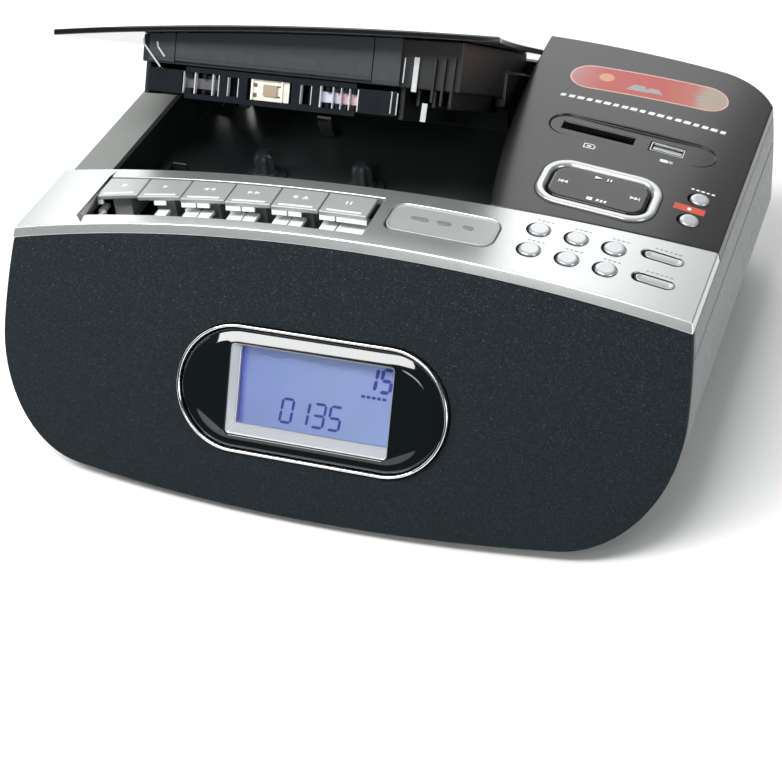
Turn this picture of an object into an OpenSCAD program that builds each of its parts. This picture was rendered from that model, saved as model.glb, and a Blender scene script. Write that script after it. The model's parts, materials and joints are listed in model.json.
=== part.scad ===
// Table-top clock radio with a top-loading cassette deck, a card slot and a USB socket.
// Origin: on the table under the middle of the cabinet. +X right, +Y to the back, +Z up.
// The lid is drawn open, with a cassette in its holder.

/* [Cabinet] */
// Height of the crown of the arched top above the table
crown_z = 92; // [91:0.5:93]
// Half of the cabinet's greatest width
half_w = 132; // [131.5:0.5:132.5]
// Distance from the origin to the back of the cabinet
back_y = 105; // [104.5:0.5:105]
// Height of the parting line between the lower and the upper shell
parting_z = 64; // [60:1:66]
// Wall thickness of the moulded shells
wall = 2.5; // [2:0.25:3]
// Thickness of the strip and the panel that lie on the upper shell
skin = 3.4; // [3:0.1:3.5]

/* [Front] */
// Distance in front of the origin where the face meets the crown
front_y = -53.1; // [-54:0.1:-52]
// How far the face leans back from upright, in degrees
lean = 30.3; // [29.5:0.1:31]
// Thickness of the cloth-covered grille
grille_t = 3.5; // [3:0.25:3.5]
// Distance of the display's centre down the face from the crown
display_s = -58.2; // [-60:0.1:-56]
// Length of the display bezel
bezel_l = 104; // [102:1:106]
// Height of the display bezel
bezel_h = 46.8; // [45:0.2:48]

/* [Deck] */
// Sideways position of the middle of the cassette
deck_x = -42; // [-43:0.5:-41]
// Front-to-back position of the reel spindles
hub_y = 30; // [29.5:0.5:30.5]
// Height of the cassette's middle plane with the lid closed
tape_z = 63.5; // [63:0.25:64]
// Height of the floor of the cassette well
floor_z = 56.5; // [56:0.25:57]

/* [Lid] */
// Front-to-back position of the lid's hinge
hinge_y = 90; // [89.5:0.5:90.5]
// Height of the lid's hinge
hinge_z = 76; // [75.5:0.25:76.25]
// Angle at which the lid stands open, in degrees
lid_open = 31; // [0:1:31]
// Thickness of the lid's outer skin
lid_t = 2.2; // [2:0.1:2.4]

/* [Keys] */
// Width from one deck key to the next
key_pitch = 18.85; // [18.8:0.05:18.9]
// Left edge of the first deck key
keys_x = -103.4; // [-103.5:0.1:-103.2]
// Front-to-back position of the shaft that the deck keys turn on
shaft_y = -19; // [-19.2:0.1:-18.8]
// Height of the shaft that the deck keys turn on
shaft_z = 74; // [73.5:0.25:74.25]

/* [Hidden] */

far = 400;              // larger than the cabinet in every direction
eps = 0.01;
$fn = 64;
big_fn = 360;

// Cross-section of the cabinet, seen from the front
top_r = 555;
side_r = 190;
side_z = 45;
belly_r = 2400;
belly_z = 3.2;
corner_r = 40;
back_corner_r = 26;
face_r = 1000;

side_c = [half_w - side_r, side_z];
belly_c = [0, belly_z + belly_r];
top_c = [0, crown_z - top_r];
corner_c = meet(belly_c, belly_r - corner_r, side_c, side_r - corner_r);

// Edges of the control strip and of the top panel, as arcs in plan
strip_back_y = -19.2;
strip_back_r = 1025;
panel_left_x = 36.5;
panel_left_r = 570;

// Keys
key_t = 1.9;
key_gap = 0.5;
key_depth = 12;
keys_back = 5.8;
trough_front_y = -48.3;
trough_r = 2500;
shaft_r = 1.5;
hub_r = 3;
stem_front = -30.5;
comb_rim = 3.9;         // depth of the comb at its front edge
comb_depth = 6.4;       // depth of its flat floor
comb_t = 1.6;
comb_y = [-48.3, -43.8, -33.4];
run = 0.05;             // radial clearance of a running fit

// Controls on the strip and the panel
button_x = [69, 82.4, 95.7];
button_y = [-26.3, -38.7];
button_r = 3.8;
button_gap = 0.4;
volume_x = 112.2;
volume_y = [-23.4, -37.2];
volume_l = 13.6;
volume_w = 4.2;
snooze_at = [36.8, -34.8];
snooze_size = [39.4, 16.2];
standby_at = [116.2, 15.6];
record_at = [115.4, 1.6];
small_r = 3.5;
pad_at = [82.5, 5];
pad_size = [44.5, 28];
pad_ring_w = 3.6;
pad_corner = 10;
pad_gap = 0.7;
pad_pivot = -9;         // depth of the pin the pad rocks on
card_at = [72.6, 42.8];
card_size = [27.6, 4.7];
usb_at = [99, 42.8];
usb_size = [13.2, 5.8];
port_relief = [[57, 14, 60], [108, 51, 120]];
port_recess = [64, 14];
port_recess_x = 85.5;

// Cassette
tape_w = 100.4;
tape_l = 63.8;
tape_t = 8.7;
tape_lip_t = 11.8;
tape_lip_l = 14.5;
hub_pitch = 42.5;
hub_back = 34.7;        // from the tape edge to the line of the hubs
tape_edge = hub_y - hub_back;
capstan_dx = 27;
capstan_y = tape_edge + 5;
spindle_top = tape_z + 5.3;

// Heads and pinch roller, at rest
head_back = -13.4;
roller_at = [deck_x + 28, -10.1];
roller_r = 3.2;
roller_pin_r = 0.8;
roller_z = [floor_z + 3.3, tape_z + 2.9];
clip_at = [-49, 62.4];

// Drive
motor_at = [48, 12];
motor_r = 14;
flywheel_r = 22;
pulley_r = 5;
belt_z = 46.5;
belt_t = 1.2;
belt_from = [deck_x + capstan_dx, capstan_y];
belt_run = motor_at - belt_from;

// Lid
lid_r = 1700;           // the lid is flatter than the top it closes
lid_edge_x = [-131.5, 43];
lid_edge_rise = [2, 0];
lid_back = 97.5;
lid_skin_gap = 0.5;
holder_left = deck_x - tape_w / 2 - 0.4;
holder_right = deck_x + tape_w / 2 + 0.4;
holder_wall = 2;
holder_box_right = 32;
holder_front = tape_edge - 1.3;
holder_back = 78;
holder_bottom = tape_z + tape_lip_t / 2 + 0.4;
arm_t = 4;
pin_r = 2;
ear_gap = 0.6;
ear_t = 4;
ear_r = 3.4;
ear_x = [holder_left - 6.6, holder_box_right - 3];

// Display
lcd_w = 62.8;
lcd_h = 33.6;

// Board and sockets at the back
board_z = 27;
board_posts = [[-84, -34], [-84, 60], [104, -34], [104, 60]];
inlet_at = [60, 32];
jack_at = [-92, 34];
jack_nose_r = 4;
jack_r = 1.8;

// Speakers
speaker_x = 88;
speaker_s = -54;
speaker_r = 30;

// Battery bay in the belly
bay_at = [14, 42];
bay_size = [62, 36];
bay_top = 24;
door_travel = 7;

function arc(c, r, a0, a1, n) =
    [for (i = [0 : n]) c + r * [cos(a0 + (a1 - a0) * i / n), sin(a0 + (a1 - a0) * i / n)]];
function direction(v) = atan2(v[1], v[0]);

// Where two circles meet, on the left of the line from the first centre to the second
function meet(c0, r0, c1, r1) = let (
    d = norm(c1 - c0),
    u = (c1 - c0) / d,
    a = (r0 * r0 - r1 * r1 + d * d) / (2 * d)
) c0 + a * u + sqrt(r0 * r0 - a * a) * [-u[1], u[0]];

// Right half of the cross-section, from the middle of the belly to the crown
function half_outline(side, top) = let (
    edge = meet(side_c, side_r - side, top_c, top_r - top)
) concat(
    arc(belly_c, belly_r - side, -90, direction(corner_c - belly_c), 10),
    arc(corner_c, corner_r - side, direction(corner_c - belly_c), direction(corner_c - side_c), 18),
    arc(side_c, side_r - side, direction(corner_c - side_c), direction(edge - side_c), 10),
    arc(top_c, top_r - top, direction(edge - top_c), 90, 30));

function top_at(x) = crown_z - top_r + sqrt(pow(top_r, 2) - pow(x, 2));
function tilt_at(x) = asin(x / top_r);
function belly_at(x) = belly_z + belly_r - sqrt(pow(belly_r, 2) - pow(x, 2));

// Centre of the lid's arc, which ends a given rise above the top at each side
lid_ends = [for (i = [0, 1]) [lid_edge_x[i], top_at(lid_edge_x[i]) + lid_edge_rise[i]]];
lid_c = meet(lid_ends[1], lid_r, lid_ends[0], lid_r);

function strip_back(x) = strip_back_y + strip_back_r - sqrt(pow(strip_back_r, 2) - pow(x, 2));

// ---- shared shapes ----

// Cabinet cross-section, set in by side, with its arched top set in by top
module loaf_2d(side = 0, top = 0) {
    half = half_outline(side, top);
    polygon(concat(half, [for (i = [len(half) - 2 : -1 : 1]) [-half[i][0], half[i][1]]]));
}

// Everything below the arched top at a depth
module arch_2d(depth) {
    polygon(concat([[-150, -50]], arc(top_c, top_r - depth, 106, 74, 64), [[150, -50]]));
}

module along_y(y0, y1) {
    translate([0, y1, 0]) rotate([90, 0, 0]) linear_extrude(height = y1 - y0) children();
}

// Everything behind the bowed, leaning face, set in by depth
module behind_face(depth) {
    translate([0, front_y, crown_z]) rotate([-lean, 0, 0]) translate([0, face_r, 0])
        cylinder(r = face_r - depth, h = 2 * far, center = true, $fn = big_fn);
}

module plan_2d(side, back) {
    r = back_corner_r - side;
    w = half_w - side;
    translate([-w, -far]) square([2 * w, far + back_y - back_corner_r]);
    translate([-w + r, 0]) square([2 * (w - r), back_y - back]);
    for (sx = [-1, 1]) translate([sx * (w - r), back_y - back - r]) circle(r = r, $fn = 128);
}

module cabinet(side = 0, top = 0, front = 0) {
    intersection() {
        along_y(-far, far) loaf_2d(side, top);
        behind_face(front);
        linear_extrude(height = crown_z + 10) plan_2d(side, side);
    }
}

// The part of the cabinet between two depths below the arched top
module top_layer(from, to) {
    difference() {
        cabinet(0, from);
        along_y(-far, far) arch_2d(to);
    }
}

module above_depth(depth) {
    difference() {
        block([-140, -130, 0], [140, 130, 130]);
        along_y(-far, far) arch_2d(depth);
    }
}

// Plan region behind the back edge of the strip
module behind_strip(gap) {
    translate([0, strip_back_y + gap + strip_back_r, -1])
        cylinder(r = strip_back_r, h = 2 * far, $fn = big_fn);
}

// Plan region to the right of the top panel's left edge
module right_of_panel_edge(gap) {
    translate([panel_left_x + panel_left_r, 100, -1])
        cylinder(r = panel_left_r - gap, h = 2 * far, $fn = big_fn);
}

module rounded_2d(size, r) {
    square([size[0] - 2 * r, size[1]], center = true);
    square([size[0], size[1] - 2 * r], center = true);
    for (sx = [-1, 1], sy = [-1, 1])
        translate([sx * (size[0] / 2 - r), sy * (size[1] / 2 - r)]) circle(r = r);
}

// A place on the arched top, with local Z along the outward normal
module on_top(at) {
    translate([at[0], at[1], top_at(at[0])]) rotate([0, tilt_at(at[0]), 0]) children();
}

// A place on the face, with local X to the right, Y up the face and Z outwards
module on_face(x, s) {
    translate([0, front_y, crown_z]) rotate([-lean, 0, 0]) translate([x, 0, s]) rotate([90, 0, 0])
        children();
}

// A block given by its low and high corners
module block(low, high) {
    translate(low) cube(high - low);
}

module lid_pose() {
    translate([0, hinge_y, hinge_z]) rotate([-lid_open, 0, 0]) translate([0, -hinge_y, -hinge_z])
        children();
}

// ---- cabinet ----

module lower_shell() color("dimgray") difference() {
    union() {
        difference() {
            cabinet(0, 0, grille_t + 0.1);
            cabinet(wall, wall, -20);
        }
        intersection() {
            cabinet(0, 0, grille_t + 0.1);
            bay_walls();
        }
        for (p = board_posts) translate([p[0], p[1], belly_at(p[0]) + 1])
            cylinder(r = 3, h = board_z - belly_at(p[0]) - 1.05);
    }
    translate([-far, -far, parting_z]) cube(2 * far);
    block([bay_at[0], bay_at[1], -1], [bay_at[0] + bay_size[0], bay_at[1] + bay_size[1], bay_top]);
    door_recess();
    translate([inlet_at[0], back_y - wall - 1, inlet_at[1]]) rotate([-90, 0, 0])
        linear_extrude(height = wall + 3) rounded_2d([19.2, 9.2], 4.5);
    translate([jack_at[0], back_y - wall - 1, jack_at[1]]) rotate([-90, 0, 0])
        cylinder(r = jack_nose_r + 0.1, h = wall + 3);
    for (p = board_posts) translate([p[0], p[1], 6]) cylinder(r = 1.2, h = board_z);
    for (i = [0 : 7]) block([-60 + 7 * i, back_y - 5, 40], [-57 + 7 * i, back_y + 1, 54]);
}

module bay_walls() {
    block([bay_at[0] - 2, bay_at[1] - 2, 0],
        [bay_at[0] + bay_size[0] + 2, bay_at[1] + bay_size[1] + 2, bay_top + 2]);
}

// Everything above the belly's surface, set in by depth
module above_belly(depth) {
    along_y(-far, far)
        polygon(concat([[-130, 60]], arc(belly_c, belly_r - depth, -93, -87, 40), [[130, 60]]));
}

module door_recess() {
    difference() {
        block([bay_at[0] - 1, bay_at[1] - 1, -1],
            [bay_at[0] + bay_size[0] + 1, bay_at[1] + bay_size[1] + door_travel + 1, 20]);
        above_belly(2);
    }
}

module battery_door() color("#2a2b2d") difference() {
    intersection() {
        cabinet();
        block([bay_at[0] - 0.7, bay_at[1] - 0.7, -1],
            [bay_at[0] + bay_size[0] + 0.7, bay_at[1] + bay_size[1] + 0.7, 20]);
    }
    above_belly(1.7);
    for (i = [0 : 4]) block([bay_at[0] + 20, bay_at[1] + 25 + i * 1.8, -1],
        [bay_at[0] + 42, bay_at[1] + 25.8 + i * 1.8, belly_at(bay_at[0] + 31) + 0.6]);
}

module upper_shell() color("gray") {
    upper_walls();
    on_top(pad_at) pad_bracket();
}

// Bridge under the pad, with two ears for the gimbal's pin
module pad_bracket() {
    difference() {
        union() {
            translate([-24, -5.4, pad_pivot - 5]) cube([48, 10.8, 1.5]);
            for (x = [-24, 22.5]) translate([x, -5.4, pad_pivot - 5]) cube([1.5, 10.8, -pad_pivot - 0.5]);
            for (y = [-5.4, 4]) translate([-1.6, y, pad_pivot - 4]) cube([3.2, 1.4, 5.4]);
        }
        translate([0, -7, pad_pivot]) rotate([-90, 0, 0]) cylinder(r = 0.8 + run, h = 14);
    }
}

module upper_walls() difference() {
    intersection() {
        cabinet(0, skin + 0.05, grille_t + 0.1);
        translate([-far, -far, parting_z]) cube(2 * far);
    }
    cabinet(wall, skin + wall, -20);
    // room for the lid, its swinging tail and the frame beside the well
    intersection() {
        lid_region(0);
        translate([-far, 80, 0]) cube(2 * far);
        above_depth(12);
    }
    intersection() {
        lid_region(0);
        above_depth(skin + wall + 0.2);
    }
    block([keys_x - 1, trough_front_y - 0.5, 60], [12.6, -15.2, 100]);
    control_holes();
    on_top(pad_at) translate([0, 0, -20]) linear_extrude(height = 40)
        rounded_2d(pad_size - [2, 2], pad_corner - 1);
    // one relief for both sockets, running into the opening for the pad
    block(port_relief[0], port_relief[1]);
}

// Plan region that the closed lid covers
module lid_region(gap) {
    difference() {
        intersection() {
            behind_strip(gap);
            block([-half_w - 5, -60, 0], [60, back_y + 10, 150]);
        }
        right_of_panel_edge(-gap);
    }
}

module control_holes() {
    for (x = button_x, y = button_y) on_top([x, y]) translate([0, 0, -20])
        cylinder(r = button_r + button_gap, h = 40);
    for (y = volume_y) on_top([volume_x, y]) translate([0, 0, -20]) linear_extrude(height = 40)
        rounded_2d([volume_l + 2 * button_gap, volume_w + 2 * button_gap], volume_w / 2 + button_gap - eps);
    for (p = [standby_at, record_at]) on_top(p) translate([0, 0, -20])
        cylinder(r = small_r + button_gap, h = 40);
    on_top(snooze_at) translate([0, 0, -20]) linear_extrude(height = 40)
        rounded_2d(snooze_size + [1, 1], 5.5);
}

module port_holes() {
    on_top(card_at) translate([0, 0, -20]) linear_extrude(height = 40)
        square(card_size, center = true);
    on_top(usb_at) translate([0, 0, -20]) linear_extrude(height = 40)
        square(usb_size, center = true);
}

module control_strip() color("silver") difference() {
    top_layer(0, skin);
    behind_strip(0);
    key_opening();
    control_holes();
}

module key_opening() {
    difference() {
        intersection() {
            block([keys_x - 0.4, trough_front_y - 5, 60], [keys_x + 6 * key_pitch + 2.2, 0, 120]);
            translate([0, trough_front_y + trough_r, 0]) cylinder(r = trough_r, h = 200, $fn = 2 * big_fn);
        }
        behind_strip(-keys_back);
    }
}

module top_panel() color("#1b1b1c") difference() {
    intersection() {
        top_layer(0, skin);
        behind_strip(0.15);
        right_of_panel_edge(0);
    }
    on_top([port_recess_x, card_at[1]]) translate([0, 0, -1.2]) linear_extrude(height = 5)
        rounded_2d(port_recess, port_recess[1] / 2 - eps);
    control_holes();
    port_holes();
    on_top(pad_at) translate([0, 0, -10]) linear_extrude(height = 20)
        rounded_2d(pad_size + [0.2, 0.2], pad_corner + 0.1);
}

module left_frame() color("#a4a6a1") intersection() {
    top_layer(skin + 0.2, skin + wall + 0.2);
    lid_region(0.15);
    block([-half_w - 1, -40, 0], [-110, 79.8, 120]);
}

module feet() color("#111111") difference() {
    for (x = [-88, 88], y = [-60, 80]) translate([x, y, 0]) cylinder(r = 8, h = 9);
    above_belly(-0.02);
}

module screws() color("#8c8c8c") for (p = board_posts) {
    translate([p[0], p[1], board_z + 1.65]) cylinder(r = 2.6, h = 1.6);
    translate([p[0], p[1], board_z - 6]) cylinder(r = 1.15, h = 7.7);
}

// ---- front ----

module pill_2d(l, h) {
    r = h / 2;
    square([l - h, h], center = true);
    for (sx = [-1, 1]) translate([sx * (l / 2 - r), 0]) circle(r = r, $fn = 128);
}

module grille() color("#1d2527") difference() {
    cabinet(0.5, skin + 0.1, 0);
    behind_face(grille_t);
    on_face(-0.5, display_s) translate([0, 0, -20]) linear_extrude(height = 40)
        pill_2d(bezel_l + 0.4, bezel_h + 0.4);
}

module front_baffle() color("#151515") difference() {
    cabinet(wall + 0.1, skin + wall + 0.1, grille_t + 0.1);
    behind_face(grille_t + 3.1);
    on_face(-0.5, display_s) translate([0, 0, -20]) linear_extrude(height = 40)
        pill_2d(bezel_l - 5, bezel_h - 5);
    for (sx = [-1, 1]) speaker_place(sx) translate([0, 0, -30]) cylinder(r = speaker_r - 3, h = 60);
}

// Seat of a speaker on the back of the bowed baffle, with local Z outwards
module speaker_place(sx) {
    translate([0, front_y, crown_z]) rotate([-lean, 0, 0]) translate([0, face_r, 0])
        rotate([0, 0, asin(sx * speaker_x / face_r)]) translate([0, -face_r, speaker_s])
            rotate([90, 0, 0]) children();
}

module speaker_baskets() color("#4a4a4a") for (sx = [-1, 1]) speaker_place(sx)
    translate([0, 0, -grille_t - 3.6 - 0.5]) rotate([180, 0, 0]) {
        difference() {
            union() {
                cylinder(r = speaker_r, h = 1.6);
                cylinder(r1 = speaker_r - 3, r2 = 15, h = 14);
            }
            translate([0, 0, -eps]) cylinder(r1 = speaker_r - 4.2, r2 = 13, h = 13);
            translate([0, 0, 5]) cylinder(r = 10.1, h = 20);
            for (a = [0 : 90 : 270]) rotate([0, 0, a + 45]) translate([speaker_r - 1.9, 0, -1])
                cylinder(r = 1.2, h = 4);
        }
        translate([0, 0, 14.05]) cylinder(r = 17, h = 9);
    }

module speaker_cones() color("#222222") for (sx = [-1, 1]) speaker_place(sx)
    translate([0, 0, -grille_t - 3.6 - 0.9]) rotate([180, 0, 0]) {
        difference() {
            translate([0, 0, 0.4]) cylinder(r1 = speaker_r - 5.4, r2 = 9, h = 11);
            translate([0, 0, 0.3]) cylinder(r1 = speaker_r - 6.4, r2 = 8, h = 10.4);
        }
    }

module bezel_ring() color("#e2e2e2") on_face(-0.5, display_s) translate([0, 0, -3])
    linear_extrude(height = 4.2) difference() {
        pill_2d(bezel_l, bezel_h);
        pill_2d(bezel_l - 2.6, bezel_h - 2.6);
    }

module lcd_bezel() color("#0c0c0d") on_face(-0.5, display_s) difference() {
    union() {
        translate([0, 0, -3]) linear_extrude(height = 4.6) pill_2d(bezel_l - 2.8, bezel_h - 2.8);
        translate([0, 0, -8]) linear_extrude(height = 5) pill_2d(bezel_l - 6, bezel_h - 6);
    }
    translate([0, 0, -9]) linear_extrude(height = 12) square([lcd_w, lcd_h], center = true);
}

module lcd_frame() color("#b9bcbf") on_face(-0.5, display_s) translate([0, 0, -4])
    difference() {
        translate([-lcd_w / 2 + 0.05, -lcd_h / 2 + 0.05, 0]) cube([lcd_w - 0.1, lcd_h - 0.1, 5]);
        translate([-lcd_w / 2 + 2.4, -lcd_h / 2 + 3.2, -1]) cube([lcd_w - 3.6, lcd_h - 4.4, 8]);
    }

module lcd_lens() color("#dfe6ee", 0.35) on_face(-0.5, display_s)
    translate([-lcd_w / 2 + 2.45, -lcd_h / 2 + 3.25, -3.2]) cube([lcd_w - 3.7, lcd_h - 4.5, 1]);

module lcd_module() color("#8391cd") on_face(-0.5, display_s) {
    translate([-lcd_w / 2 + 0.1, -lcd_h / 2 + 0.1, -8.2]) cube([lcd_w - 0.2, lcd_h - 0.2, 4.1]);
    translate([-36, -19, -9.8]) cube([72, 38, 1.75]);
}

// ---- deck ----

module well_tray() color("#17191a") {
    difference() {
        intersection() {
            block([-112, -15.1, floor_z - 2], [56, 86, 120]);
            union() {
                block([-112, -15.1, floor_z - 2], [20, 86, 120]);
                difference() {
                    block([0, -15.1, floor_z - 2], [56, 86, 120]);
                    right_of_panel_edge(-0.2);
                }
            }
            cabinet(wall + 0.3, skin + wall + 0.25, 0);
        }
        difference() {
            block([-110, -13.6, floor_z], [56, 83.8, 130]);
            right_of_panel_edge(2);
        }
        intersection() {
            translate([-far, 78, 0]) cube(2 * far);
            above_depth(16);
        }
        for (sx = [-1, 1]) translate([deck_x + sx * hub_pitch / 2, hub_y, 0])
            cylinder(r = 1.5 + run, h = 70);
        translate([deck_x + capstan_dx, capstan_y, 0]) cylinder(r = 1.25 + run, h = 70);
        for (x = ear_x) block([x - arm_t - 2, 80, 50], [x + arm_t + 2, 90, 130]);
    }
    hinge_ears();
    // guide rib beside the cassette, at the left
    block([-103, -9, floor_z - 1], [-101.6, 24, 62]);
    block([-103, 24, floor_z - 1], [-95.4, 25.4, 62]);
}

module hinge_ears() {
    for (i = [0, 1]) {
        x0 = ear_x[i] + (i == 0 ? -ear_gap - ear_t : arm_t + ear_gap);
        difference() {
            union() {
                block([x0, 80, floor_z - 2], [x0 + ear_t, hinge_y + ear_r - 1.6, hinge_z]);
                translate([x0, hinge_y, hinge_z]) rotate([0, 90, 0]) cylinder(r = ear_r - 0.6, h = ear_t);
            }
            translate([x0 - 1, hinge_y, hinge_z]) rotate([0, 90, 0])
                cylinder(r = pin_r + run, h = ear_t + 2);
        }
    }
    block([-112, 86 - eps, floor_z - 2], [40, hinge_y + ear_r - 1.6, floor_z]);
}

module spindle(x) color("#101010") translate([x, hub_y, 0]) {
    translate([0, 0, 50]) cylinder(r = 1.5, h = 10);
    translate([0, 0, floor_z + 0.3]) cylinder(r = 8.5, h = 1.2);
    translate([0, 0, floor_z + 1.4]) cylinder(r1 = 5, r2 = 3.1, h = 1.5);
    translate([0, 0, floor_z + 1]) cylinder(r = 2.9, h = spindle_top - floor_z - 3.5);
    translate([0, 0, spindle_top - 2.5]) cylinder(r1 = 2.9, r2 = 1.2, h = 2.5);
    for (a = [0 : 60 : 300]) rotate([0, 0, a]) difference() {
        translate([0, -0.5, floor_z + 2.8]) cube([3.9, 1, spindle_top - floor_z - 5.3]);
        translate([3.9, 0, spindle_top - 4]) rotate([0, -40, 0]) translate([0, -2, 0]) cube([4, 4, 6]);
    }
    translate([0, 0, 50]) cylinder(r = 16, h = 3);
}

module spindle_left() spindle(deck_x - hub_pitch / 2);
module spindle_right() spindle(deck_x + hub_pitch / 2);

module flywheel() color("#9a8a55") translate([deck_x + capstan_dx, capstan_y, 0]) {
    difference() {
        translate([0, 0, 43]) cylinder(r = flywheel_r, h = 5.6);
        translate([0, 0, belt_z - 0.7]) difference() {
            cylinder(r = flywheel_r + 1, h = 1.4);
            translate([0, 0, -1]) cylinder(r = flywheel_r - belt_t, h = 4);
        }
    }
    translate([0, 0, 40]) cylinder(r = 1.25, h = tape_z + 5 - 40);
}

module deck_motor() color("#b7b9ba") {
    translate([motor_at[0], motor_at[1], 20]) cylinder(r = motor_r, h = 22);
    translate([motor_at[0], motor_at[1], 42]) cylinder(r = 4, h = 1);
    block([motor_at[0] - 18, motor_at[1] - 10, 6.8], [motor_at[0] + 18, motor_at[1] + 10, 20.1]);
}

module motor_pulley() color("#c9b26a") translate([motor_at[0], motor_at[1], 0]) difference() {
    translate([0, 0, 44]) cylinder(r = pulley_r + 1, h = 5);
    translate([0, 0, belt_z - 0.7]) difference() {
        cylinder(r = pulley_r + 2, h = 1.4);
        translate([0, 0, -1]) cylinder(r = pulley_r, h = 4);
    }
}

// Outline that wraps the flywheel and the pulley
module belt_2d(grow) {
    ra = flywheel_r - belt_t + grow;
    rb = pulley_r + grow;
    wrap = acos((ra - rb) / norm(belt_run));
    translate(belt_from) rotate(direction(belt_run))
        polygon(concat(arc([0, 0], ra, wrap, 360 - wrap, 72), arc([norm(belt_run), 0], rb, -wrap, wrap, 32)));
}

module drive_belt() color("#0a0a0a") translate([0, 0, belt_z - 0.5]) linear_extrude(height = 1)
    difference() {
        belt_2d(belt_t - 0.2);
        belt_2d(0.1);
    }

// Record and playback head, erase head and the pinch roller's arm on their sliding plate
module head_plate() color("#c8cacb") {
    block([deck_x - 38, head_back, floor_z + 0.4], [deck_x + 38, head_back + 3, floor_z + 1.8]);
    block([deck_x - 6, head_back, floor_z + 1.8], [deck_x + 6, head_back + 3, tape_z + 4.5]);
    translate([deck_x, head_back + 3.3, floor_z + 3]) cylinder(r = 3.2, h = 7.5);
    block([deck_x - 33, head_back, floor_z + 1.8], [deck_x - 24, head_back + 2.6, tape_z + 3.5]);
    block([deck_x - 32, head_back + 2.6, tape_z - 3.5], [deck_x - 25, head_back + 5.4, tape_z + 3.5]);
    difference() {
        block([deck_x + 20, head_back, floor_z + 1.8], [deck_x + 36, head_back + 1.2, tape_z + 5.5]);
        block([deck_x + 22.6, head_back - 1, roller_z[0] + 0.9], [deck_x + 33.4, head_back + 2, roller_z[1] - 0.1]);
    }
    for (z = roller_z)
        block([roller_at[0] - 1.6, head_back + 1.1, z], [roller_at[0] + 1.6, roller_at[1] + 1.2, z + 0.8]);
    translate([roller_at[0], roller_at[1], roller_z[0]])
        cylinder(r = roller_pin_r, h = roller_z[1] - roller_z[0] + 0.5);
}

module pinch_roller() color("#262626") translate([roller_at[0], roller_at[1], 0]) difference() {
    translate([0, 0, roller_z[0] + 1]) cylinder(r = roller_r, h = roller_z[1] - roller_z[0] - 1.2);
    cylinder(r = roller_pin_r + run, h = 100);
}

module spring_clip() color("#d8d8d4") {
    block([clip_at[0] - 4.5, clip_at[1] - 1, floor_z + 0.02], [clip_at[0] + 4.5, clip_at[1] + 7, floor_z + 0.6]);
    translate([0, clip_at[1], 0]) block([clip_at[0] - 3, 0, floor_z + 0.6], [clip_at[0] + 3, 0.6, floor_z + 12]);
    translate([clip_at[0] - 3, clip_at[1] - 1.2, floor_z + 12]) rotate([0, 90, 0]) difference() {
        cylinder(r = 1.8, h = 6);
        translate([0, 0, -1]) cylinder(r = 1.2, h = 8);
        translate([0, -3, -1]) cube([3, 6, 8]);
    }
}

// ---- deck keys ----

module key_shaft() color("#b0b0b0") translate([keys_x - 0.5, shaft_y, shaft_z]) rotate([0, 90, 0])
    cylinder(r = shaft_r, h = 6 * key_pitch + 4);

// Sloping front and flat floor of the comb, both following the arch of the top
module comb_body(depth) {
    r = top_r - depth;
    translate([0, comb_y[0], crown_z - top_r]) rotate([-90, 0, 0]) {
        cylinder(r1 = r - comb_rim, r2 = r - comb_depth, h = comb_y[1] - comb_y[0], $fn = big_fn * 2);
        translate([0, 0, comb_y[1] - comb_y[0] - eps])
            cylinder(r = r - comb_depth, h = comb_y[2] - comb_y[1] + 1, $fn = big_fn * 2);
    }
}

module key_comb() color("#c9cccd") difference() {
    union() {
        intersection() {
            block([keys_x - 0.2, trough_front_y + 0.3, 62], [keys_x + 6 * key_pitch + 2, comb_y[2], 120]);
            difference() {
                comb_body(0);
                comb_body(comb_t);
            }
            cabinet(wall + 0.5, 0, grille_t + 0.6);
        }
        // bearing blocks at the two ends of the shaft
        for (x = [keys_x - 0.5, keys_x + 6 * key_pitch + 0.3]) {
            block([x, -24, 66], [x + 1.6, -15.3, 76.2]);
            block([x, -46, 64], [x + 1.6, -15.3, 68.5]);
            block([x, -46, 64], [x + 1.6, comb_y[2] - 0.2, top_at(x) - comb_depth - 0.4]);
        }
    }
    translate([keys_x - 2, shaft_y, shaft_z]) rotate([0, 90, 0]) cylinder(r = shaft_r + 0.02, h = 130);
    for (i = [1 : 4]) block([keys_x + (i + 1) * key_pitch - 6.9, -60, 50],
        [keys_x + (i + 1) * key_pitch - 0.3, comb_y[2] - 1.4, 100]);
    block([keys_x + 2.6, -60, 50], [keys_x + key_pitch + 2.6, comb_y[2] - 1.4, 100]);
}

module key(i) color("#d3d6d7") {
    x0 = keys_x + i * key_pitch + key_gap / 2;
    x1 = x0 + key_pitch - key_gap;
    xm = (x0 + x1) / 2;
    back = strip_back(xm) - keys_back - key_gap;
    difference() {
        union() {
            intersection() {
                top_layer(0.2, 0.2 + key_t);
                block([x0, back - key_depth, 60], [x1, back + 2, 120]);
            }
            // stem and hub
            intersection() {
                cabinet(0, 1);
                block([xm - 4, stem_front, shaft_z - 3], [xm + 4, back, 120]);
            }
            block([xm - 4, back - 5, shaft_z - 3], [xm + 4, shaft_y, shaft_z + 2.6]);
            translate([xm - 4, shaft_y, shaft_z]) rotate([0, 90, 0]) cylinder(r = hub_r, h = 8);
        }
        intersection() {
            behind_strip(-keys_back - key_gap);
            block([x0 - 1, -40, shaft_z + hub_r + 1], [x1 + 1, 0, 120]);
        }
        translate([x0 - 1, shaft_y, shaft_z]) rotate([0, 90, 0])
            cylinder(r = shaft_r + run, h = key_pitch + 2);
    }
}

module key_record() key(0);
module key_play() key(1);
module key_rewind() key(2);
module key_forward() key(3);
module key_stop() key(4);
module key_pause() key(5);

// ---- buttons ----

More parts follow.
